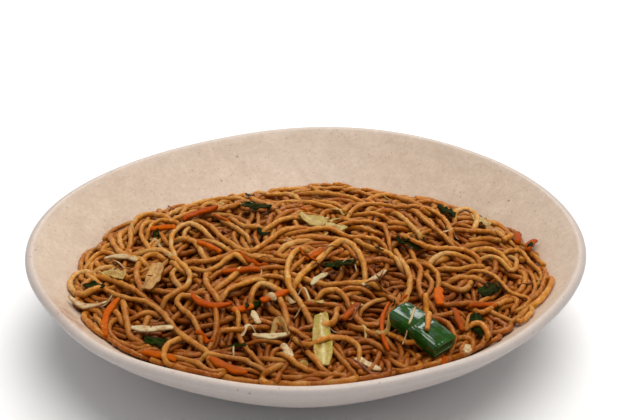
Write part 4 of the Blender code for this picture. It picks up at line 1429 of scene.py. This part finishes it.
def scrap(pile, kind, grounds, plan, width, rng):
    """A thin bent strip that lies along a line, over whatever is under it."""
    plan = resample(plan, SCRAP_STEP)
    half = width / 2
    _, flatness, taper, most_turn, least_browned = SCRAP_KINDS[kind]
    ground = np.array([drop(grounds, x, y) for x, y in plan])
    broad, fine = SCRAP_EASING
    height = eased(np.maximum(ground, eased(ground, broad)), fine) + half * flatness
    t = np.linspace(0.0, 1.0, len(plan))
    radii = half * (1.0 - taper * np.abs(2 * t - 1) ** 3)
    radii = radii * (1.0 + SCRAP_UNEVEN * wavy(t, rng, SCRAP_WAVES))
    line = np.column_stack([plan, height])
    turn = rng.uniform(-1.0, 1.0) * most_turn
    vertices, faces = capped_tube(line, radii, SCRAP_SIDES, flatness, turn, SCRAP_TWIST * turn)
    browned = min(1.0, least_browned + rng.uniform(0.0, MORE_BROWNED))
    tone, vein = rng.uniform(0, 1), rng.uniform(0.0, MOST_VEIN)
    pile.add(vertices, faces, tone=tone, browned=browned, vein=vein, deep=0.0)


def make_scraps(things, materials):
    rng = np.random.default_rng(SCRAP_SEED)
    graph = bpy.context.evaluated_depsgraph_get()
    grounds = [BVHTree.FromObject(thing, graph) for thing in things]
    piles = {kind: Pile() for kind in SCRAP_KINDS}
    for kind, width, *pixels in SCRAPS:
        plan = [under_pixel(grounds, px, py) for px, py in zip(pixels[::2], pixels[1::2])]
        scrap(piles[kind], kind, grounds, plan, width / 1000.0, rng)
    for kind, count in SCATTERED:
        for _ in range(count):
            theta = rng.uniform(0.0, math.tau)
            x, y = to_plan(theta, heap_edge(theta) * SCATTER_REACH * math.sqrt(rng.random()))
            heading = rng.uniform(0.0, math.tau)
            length = rng.uniform(*SCATTER_LENGTH) / 2
            ahead = np.array([math.cos(heading), math.sin(heading)]) * length
            side = np.array([-ahead[1], ahead[0]]) * rng.uniform(-SCATTER_BOW, SCATTER_BOW)
            middle = np.array([x, y])
            plan = [middle - ahead, middle + side, middle + ahead]
            scrap(piles[kind], kind, grounds, plan, rng.uniform(*SCATTER_WIDTH), rng)
    return {kind: pile.build(f"scraps_{kind}", materials[kind]) for kind, pile in piles.items()}


LEAST_SPECK = 0.25
SPECK_EDGE = 0.3


class Shade:
    """A material's node tree, built up a node at a time."""

    def __init__(self, name):
        self.material = bpy.data.materials.new(name)
        self.material.use_nodes = True
        self.tree = self.material.node_tree
        self.shader = self.tree.nodes["Principled BSDF"]
        self.coordinates = self.node("ShaderNodeTexCoord").outputs["Object"]

    def node(self, kind, **settings):
        made = self.tree.nodes.new(kind)
        for key, value in settings.items():
            setattr(made, key, value)
        return made

    def join(self, value, socket):
        if isinstance(value, (int, float, tuple)):
            socket.default_value = value
        else:
            self.tree.links.new(value, socket)

    def noise(self, size, detail=3.0, roughness=0.55, distortion=0.0):
        """Noise whose blotches are about this many metres across."""
        made = self.node("ShaderNodeTexNoise")
        self.join(self.coordinates, made.inputs["Vector"])
        made.inputs["Scale"].default_value = 1.0 / size
        made.inputs["Detail"].default_value = detail
        made.inputs["Roughness"].default_value = roughness
        made.inputs["Distortion"].default_value = distortion
        return made.outputs["Fac"]

    def attribute(self, name):
        made = self.node("ShaderNodeAttribute", attribute_name=name)
        return made.outputs["Fac"]

    def maths(self, operation, a, b=0.0, clamp=False):
        made = self.node("ShaderNodeMath", operation=operation, use_clamp=clamp)
        self.join(a, made.inputs[0])
        self.join(b, made.inputs[1])
        return made.outputs[0]

    def span(self, value, low, high, to_low=0.0, to_high=1.0):
        made = self.node("ShaderNodeMapRange")
        self.join(value, made.inputs["Value"])
        made.inputs["From Min"].default_value = low
        made.inputs["From Max"].default_value = high
        made.inputs["To Min"].default_value = to_low
        made.inputs["To Max"].default_value = to_high
        return made.outputs["Result"]

    def ramp(self, value, *stops):
        made = self.node("ShaderNodeValToRGB")
        self.join(value, made.inputs["Fac"])
        elements = made.color_ramp.elements
        while len(elements) < len(stops):
            elements.new(0.5)
        for element, (place, colour) in zip(elements, stops):
            element.position = place
            element.color = (*colour, 1.0)
        return made.outputs["Color"]

    def mix(self, share, a, b, blend="MIX"):
        made = self.node("ShaderNodeMix", data_type="RGBA", blend_type=blend)
        self.join(share, made.inputs[0])
        self.join((*a, 1.0) if isinstance(a, tuple) else a, made.inputs[6])
        self.join((*b, 1.0) if isinstance(b, tuple) else b, made.inputs[7])
        return made.outputs[2]

    def blotch(self, colour, value, low, high, share, tint):
        """Another colour, coming in from low to high of a value, up to a share."""
        return self.mix(self.span(value, low, high, 0.0, share), colour, tint)

    def wash(self, colour, value, share, tint):
        """Another colour, by a share of a value."""
        return self.mix(self.maths("MULTIPLY", value, share), colour, tint)

    def weigh(self, a, share_a, b, share_b):
        """The sum of two values, each by its share."""
        return self.maths("ADD", self.maths("MULTIPLY", a, share_a), self.maths("MULTIPLY", b, share_b))

    def specks(self, cell, size, share):
        """Spots scattered about a cell apart: 1 on a spot, 0 off it. Only a share of the cells has one."""
        made = self.node("ShaderNodeTexVoronoi", feature="F1")
        self.join(self.coordinates, made.inputs["Vector"])
        made.inputs["Scale"].default_value = 1.0 / cell
        split = self.node("ShaderNodeSeparateColor")
        self.join(made.outputs["Color"], split.inputs["Color"])
        picked = self.span(split.outputs["Red"], 1.0 - share, 1.0, LEAST_SPECK, 1.0)
        picked = self.maths("MULTIPLY", picked, self.maths("GREATER_THAN", split.outputs["Red"], 1.0 - share))
        reach = self.maths("MULTIPLY", picked, size / cell)
        gap = self.maths("SUBTRACT", reach, made.outputs["Distance"])
        return self.span(gap, 0.0, SPECK_EDGE * size / cell)

    def bump(self, height, distance, strength=1.0, onto=None):
        made = self.node("ShaderNodeBump")
        self.join(height, made.inputs["Height"])
        made.inputs["Distance"].default_value = distance
        made.inputs["Strength"].default_value = strength
        if onto is not None:
            self.join(onto, made.inputs["Normal"])
        return made.outputs["Normal"]

    def finish(self, colour, roughness, normal=None, **constants):
        self.join(colour, self.shader.inputs["Base Color"])
        self.join(roughness, self.shader.inputs["Roughness"])
        if normal is not None:
            self.join(normal, self.shader.inputs["Normal"])
        for name, value in constants.items():
            self.shader.inputs[name.replace("_", " ")].default_value = value
        return self.material


# Runs of colour, each by its place from 0 to 1
STONEWARE_COLOURS = (
    (0.32, (0.610, 0.475, 0.360)),
    (0.68, (0.715, 0.570, 0.440)),
)
NOODLE_COLOURS = (
    (0.08, (0.620, 0.360, 0.120)),
    (0.36, (0.570, 0.238, 0.026)),
    (0.64, (0.455, 0.140, 0.006)),
    (0.92, (0.300, 0.064, 0.001)),
)
# The heap's bed: dark with sauce and painted shade, where the deeper noodles would lie in shade
BED_SAUCE_AND_SHADE_COLOURS = (
    (0.35, (0.040, 0.009, 0.0005)),
    (0.70, (0.120, 0.024, 0.001)),
)
CARROT_COLOURS = (
    (0.25, (0.530, 0.105, 0.0)),
    (0.55, (0.430, 0.062, 0.0)),
    (0.85, (0.280, 0.034, 0.0)),
)
CABBAGE_COLOURS = (
    (0.32, (0.270, 0.215, 0.022)),
    (0.52, (0.400, 0.315, 0.060)),
    (0.72, (0.500, 0.390, 0.120)),
)
RIB_COLOURS = (
    (0.2, (0.430, 0.430, 0.230)),
    (0.5, (0.540, 0.460, 0.270)),
    (0.8, (0.480, 0.310, 0.140)),
)
GREEN_COLOURS = (
    (0.34, (0.003, 0.005, 0.0005)),
    (0.56, (0.007, 0.014, 0.0008)),
    (0.76, (0.035, 0.052, 0.003)),
)
ONION_COLOURS = (
    (0.30, (0.003, 0.026, 0.001)),
    (0.60, (0.006, 0.050, 0.002)),
    (0.85, (0.020, 0.100, 0.005)),
)
CRISP_COLOURS = (
    (0.32, (0.060, 0.014, 0.004)),
    (0.52, (0.150, 0.030, 0.006)),
    (0.72, (0.300, 0.080, 0.012)),
)
# Specks in the glaze: metres between them, greatest radius, share of places with one, strength and colour
STONEWARE_SPECKS = (
    (0.0016, 0.00050, 0.55, 0.62, (0.400, 0.270, 0.180)),
    (0.0034, 0.00070, 0.50, 0.50, (0.270, 0.180, 0.125)),
    (0.0075, 0.00090, 0.40, 0.65, (0.150, 0.100, 0.080)),
)


def stoneware():
    made = Shade("stoneware")
    broad = made.noise(0.010, 5.0, 0.65)
    fine = made.noise(0.0022, 4.0, 0.65)
    grain = made.noise(0.0006, 3.0, 0.7)
    colour = made.ramp(broad, *STONEWARE_COLOURS)
    colour = made.blotch(colour, fine, 0.35, 0.75, 0.55, (0.50, 0.36, 0.26))
    colour = made.blotch(colour, grain, 0.48, 0.76, 0.40, (0.42, 0.29, 0.20))
    # Outside, the glaze is greyer and much darker: partly its own colour, partly painted shade
    outside = made.mix(0.75, colour, (0.40, 0.365, 0.365))
    colour = made.mix(made.attribute("outside"), colour, outside)
    for cell, size, share, strength, speck in STONEWARE_SPECKS:
        colour = made.wash(colour, made.specks(cell, size, share), strength, speck)
    smear = made.noise(0.004, 3.0, 0.7, 0.6)
    stain = made.maths("MULTIPLY", made.attribute("stain"), made.span(smear, 0.30, 0.62), clamp=True)
    oil = made.maths("MULTIPLY", made.attribute("oil"), made.span(smear, 0.35, 0.70), clamp=True)
    colour = made.wash(colour, stain, 0.85, (0.34, 0.14, 0.055))
    colour = made.wash(colour, oil, 0.45, (0.42, 0.24, 0.11))
    rough = made.span(made.maths("ADD", stain, oil), 0.0, 1.0, 0.46, 0.24)
    uneven = made.bump(made.noise(0.010, 2.0), 0.0006, 0.5)
    normal = made.bump(made.noise(0.0009, 3.0), 0.00006, 0.7, uneven)
    return made.finish(colour, rough, normal, Specular_IOR_Level=0.45, Coat_Weight=0.12, Coat_Roughness=0.25)


# How far the browner noodles are moved along the run of colours
BROWNED_SHIFT = 0.08


def noodle(name, darker):
    made = Shade(name)
    tone = made.attribute("tone")
    deep = made.attribute("deep")
    patches = made.span(made.noise(0.009, 4.0, 0.6), 0.32, 0.68)
    value = made.weigh(tone, 0.55, patches, 0.45)
    colour = made.ramp(value, *((place - darker, tint) for place, tint in NOODLE_COLOURS))
    grain = made.noise(0.0015, 4.0, 0.75)
    colour = made.blotch(colour, grain, 0.50, 0.70, 0.65, (0.26, 0.055, 0.003))
    # Pale flecks in the grain: partly the noodles' own mottling, partly painted highlight
    colour = made.mix(made.span(grain, 0.30, 0.48, 0.60, 0.0), colour, (0.72, 0.47, 0.21))
    flecks = made.specks(0.0030, 0.00045, 0.30)
    colour = made.wash(colour, flecks, 0.7, (0.07, 0.018, 0.004))
    # Noodles lower in the heap and towards the front turn dark brown: partly sauce, partly painted shade
    sauce = made.span(deep, 0.05, 0.80, 0.0, 0.88)
    colour = made.mix(sauce, colour, (0.175, 0.032, 0.0005))
    wet = made.noise(0.0030, 3.0)
    rough = made.span(wet, 0.38, 0.62, 0.20, 0.46)
    broad = made.bump(made.noise(0.0032, 3.0), 0.0006, 0.6)
    normal = made.bump(grain, 0.00035, 0.8, broad)
    return made.finish(
        colour, rough, normal, Subsurface_Weight=0.35, Subsurface_Scale=0.0022,
        Subsurface_Radius=(1.0, 0.45, 0.12), Specular_IOR_Level=0.38,
        Specular_Tint=(1.0, 0.72, 0.36, 1.0),
    )


def heap_bed():
    made = Shade("noodle_bed")
    lumps = made.noise(0.0035, 4.0, 0.6)
    colour = made.ramp(lumps, *BED_SAUCE_AND_SHADE_COLOURS)
    normal = made.bump(lumps, 0.0012)
    rough = made.span(lumps, 0.3, 0.7, 0.45, 0.70)
    return made.finish(colour, rough, normal, Specular_IOR_Level=0.08, Specular_Tint=(1.0, 0.72, 0.36, 1.0))


def carrot():
    made = Shade("carrot")
    tone = made.attribute("tone")
    streaks = made.noise(0.0028, 4.0, 0.6, 0.8)
    colour = made.ramp(made.weigh(tone, 0.35, streaks, 0.7), *CARROT_COLOURS)
    colour = made.wash(colour, made.attribute("browned"), 0.85, (0.240, 0.045, 0.003))
    sauce = made.noise(0.006, 4.0, 0.65)
    colour = made.blotch(colour, sauce, 0.50, 0.68, 0.70, (0.170, 0.036, 0.003))
    flecks = made.specks(0.0022, 0.00045, 0.35)
    colour = made.wash(colour, flecks, 0.6, (0.10, 0.025, 0.004))
    normal = made.bump(made.noise(0.0010, 3.0), 0.0002, 0.7)
    rough = made.span(streaks, 0.35, 0.65, 0.24, 0.45)
    return made.finish(
        colour, rough, normal, Subsurface_Weight=0.06, Subsurface_Scale=0.0010,
        Subsurface_Radius=(1.0, 0.35, 0.05), Specular_IOR_Level=0.06,
        Specular_Tint=(1.0, 0.50, 0.18, 1.0),
    )


def cabbage():
    made = Shade("cabbage")
    vein = made.attribute("vein")
    patches = made.noise(0.004, 4.0, 0.65)
    colour = made.ramp(patches, *CABBAGE_COLOURS)
    colour = made.blotch(colour, vein, 0.20, 0.95, 0.80, (0.600, 0.500, 0.240))
    brown = made.ramp(patches, (0.35, (0.500, 0.250, 0.060)), (0.65, (0.300, 0.110, 0.018)))
    colour = made.wash(colour, made.attribute("browned"), 0.92, brown)
    stain = made.noise(0.0035, 4.0, 0.7)
    colour = made.blotch(colour, stain, 0.46, 0.66, 0.85, (0.300, 0.120, 0.018))
    normal = made.bump(made.noise(0.0018, 4.0, 0.7), 0.0006, 0.7)
    rough = made.span(patches, 0.3, 0.7, 0.24, 0.42)
    return made.finish(
        colour, rough, normal, Subsurface_Weight=0.15, Subsurface_Scale=0.002,
        Subsurface_Radius=(1.0, 0.9, 0.3), Specular_IOR_Level=0.45,
        Specular_Tint=(1.0, 0.93, 0.65, 1.0),
    )


def cabbage_rib():
    made = Shade("cabbage_rib")
    tone = made.attribute("tone")
    patches = made.noise(0.003, 4.0, 0.65)
    value = made.weigh(tone, 0.4, patches, 0.6)
    colour = made.ramp(value, *RIB_COLOURS)
    colour = made.wash(colour, made.attribute("browned"), 0.75, (0.470, 0.260, 0.100))
    stain = made.noise(0.0030, 4.0, 0.7)
    colour = made.blotch(colour, stain, 0.47, 0.64, 0.85, (0.320, 0.125, 0.024))
    normal = made.bump(made.noise(0.0015, 4.0, 0.7), 0.0005, 0.8)
    rough = made.span(patches, 0.3, 0.7, 0.2, 0.38)
    return made.finish(
        colour, rough, normal, Subsurface_Weight=0.20, Subsurface_Scale=0.002,
        Subsurface_Radius=(1.0, 0.85, 0.5), Specular_IOR_Level=0.50,
        Specular_Tint=(1.0, 0.90, 0.65, 1.0),
    )


def green_leaf():
    made = Shade("green_leaf")
    vein = made.attribute("vein")
    patches = made.noise(0.003, 4.0, 0.65)
    colour = made.ramp(patches, *GREEN_COLOURS)
    colour = made.blotch(colour, vein, 0.3, 1.0, 0.30, (0.040, 0.058, 0.004))
    stain = made.noise(0.004, 4.0)
    colour = made.blotch(colour, stain, 0.50, 0.70, 0.75, (0.030, 0.010, 0.001))
    normal = made.bump(made.noise(0.0016, 4.0, 0.7), 0.0006, 0.8)
    rough = made.span(patches, 0.3, 0.7, 0.35, 0.55)
    return made.finish(colour, rough, normal, Specular_IOR_Level=0.03, Specular_Tint=(0.90, 0.80, 0.45, 1.0))


def onion_green():
    made = Shade("spring_onion_green")
    inner = made.attribute("inner")
    around = made.attribute("around")
    patches = made.noise(0.004, 4.0, 0.6)
    ribs = made.maths("SINE", made.maths("MULTIPLY", around, math.tau * ONION_RIBS[1][1]))
    colour = made.ramp(patches, *ONION_COLOURS)
    colour = made.mix(made.span(ribs, -1.0, 1.0, 0.0, 0.20), colour, (0.040, 0.140, 0.020))
    sauce = made.noise(0.0030, 4.0, 0.7)
    colour = made.blotch(colour, sauce, 0.54, 0.70, 0.75, (0.050, 0.022, 0.004))
    colour = made.wash(colour, inner, 0.7, (0.160, 0.260, 0.070))
    normal = made.bump(ribs, 0.00006, 0.5, made.bump(made.noise(0.0030, 3.0), 0.0004, 0.6))
    gloss = made.noise(0.0060, 3.0, 0.6)
    rough = made.span(gloss, 0.40, 0.60, 0.30, 0.50)
    coat = made.span(gloss, 0.49, 0.53, 1.0, 0.0)
    made.join(coat, made.shader.inputs["Coat Weight"])
    return made.finish(
        colour, rough, normal, Specular_IOR_Level=0.08, Specular_Tint=(0.80, 1.0, 0.60, 1.0),
        Coat_Roughness=0.11, Coat_IOR=1.55,
    )


def crisp():
    made = Shade("crisp_shreds")
    patches = made.noise(0.0025, 4.0, 0.7)
    colour = made.ramp(patches, *CRISP_COLOURS)
    normal = made.bump(made.noise(0.0012, 4.0, 0.7), 0.0004, 0.8)
    rough = made.span(patches, 0.3, 0.7, 0.22, 0.42)
    return made.finish(colour, rough, normal, Specular_IOR_Level=0.40, Specular_Tint=(1.0, 0.60, 0.35, 1.0))


# Light: an even bright room, and a broad soft lamp overhead
FLOOR_SIZE = 8.0
FLOOR_PATCHES = 0.5
FLOOR_SHADES = ((0.0, 0.86), (1.0, 0.88))
FLOOR_ROUGH = 0.9
ROOM_LIGHT = 0.42
ROOM_TINT = (0.94, 0.97, 1.0)
SUN_POWER = 2.50
SUN_SPREAD = math.radians(48.0)
SUN_FROM = (0.15, 0.02, 1.0)
SUN_TINT = (1.0, 0.975, 0.94)
SOFTBOX_PLACE = (0.05, 0.78, 0.72)
SOFTBOX_SIZE = (0.60, 0.28)
SOFTBOX_POWER = 2.6


def put_lamp(name, kind, energy, place, light_from):
    """A lamp that shines from a direction."""
    lamp = bpy.data.lights.new(name, kind)
    lamp.energy = energy
    thing = bpy.data.objects.new(name, lamp)
    thing.location = place
    thing.rotation_euler = light_from.to_track_quat("Z", "Y").to_euler()
    bpy.context.scene.collection.objects.link(thing)
    return thing


def studio():
    """Pale floor, soft light from above and behind, and an even bright room."""
    bpy.ops.mesh.primitive_plane_add(size=FLOOR_SIZE, location=(0.0, 0.0, 0.0))
    floor = bpy.context.object
    floor.name = "floor"
    made = Shade("pale_floor")
    shades = [(share, (pale, pale, pale)) for share, pale in FLOOR_SHADES]
    made.finish(made.ramp(made.noise(FLOOR_PATCHES), *shades), FLOOR_ROUGH)
    floor.data.materials.append(made.material)
    world = bpy.data.worlds.new("room")
    bpy.context.scene.world = world
    world.use_nodes = True
    background = world.node_tree.nodes["Background"]
    background.inputs["Color"].default_value = (*ROOM_TINT, 1.0)
    background.inputs["Strength"].default_value = ROOM_LIGHT
    sun = put_lamp("soft_lamp", "SUN", SUN_POWER, (0.0, 0.0, 0.0), Vector(SUN_FROM))
    sun.data.angle = SUN_SPREAD
    sun.data.color = SUN_TINT
    light_from = Vector(SOFTBOX_PLACE) - Vector((0.0, 0.0, HEAP_TOP))
    softbox = put_lamp("softbox", "AREA", SOFTBOX_POWER, SOFTBOX_PLACE, light_from)
    softbox.data.shape = "RECTANGLE"
    softbox.data.size, softbox.data.size_y = SOFTBOX_SIZE
    softbox.visible_camera = False


def camera():
    made = bpy.data.cameras.new("camera")
    made.sensor_width = SENSOR
    made.sensor_fit = "HORIZONTAL"
    made.lens = FOCAL_PIXELS * SENSOR / FRAME_WIDTH
    made.clip_start = CLIP_START
    thing = bpy.data.objects.new("camera", made)
    thing.location = Vector(CAMERA_PLACE)
    thing.rotation_euler = (math.pi / 2 - CAMERA_ELEVATION, 0.0, 0.0)
    bpy.context.scene.collection.objects.link(thing)
    bpy.context.scene.camera = thing


def main():
    tangle, chains = lay_noodles()
    golden, browned = noodle("noodle_golden", 0.0), noodle("noodle_browned", BROWNED_SHIFT)
    noodles = make_noodles(tangle, chains, (golden, browned, golden))
    bed = make_core(heap_bed())
    for thing in (*noodles, bed):
        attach(thing, "root")
        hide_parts("noodles")
    bowl = make_bowl(stoneware())
    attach(bowl, "root")
    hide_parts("bowl")
    materials = {
        "carrot": carrot(),
        "cabbage": cabbage(),
        "rib": cabbage_rib(),
        "green": green_leaf(),
        "onion": onion_green(),
        "crisp": crisp(),
        "noodle": golden,
    }
    toppings = make_toppings(materials)
    scraps = make_scraps((*noodles, *toppings), materials)
    for kind, (slot, *_) in SCRAP_KINDS.items():
        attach(scraps[kind], "root")
    studio()
    camera()
    bpy.context.scene.view_settings.view_transform = "Standard"


main()
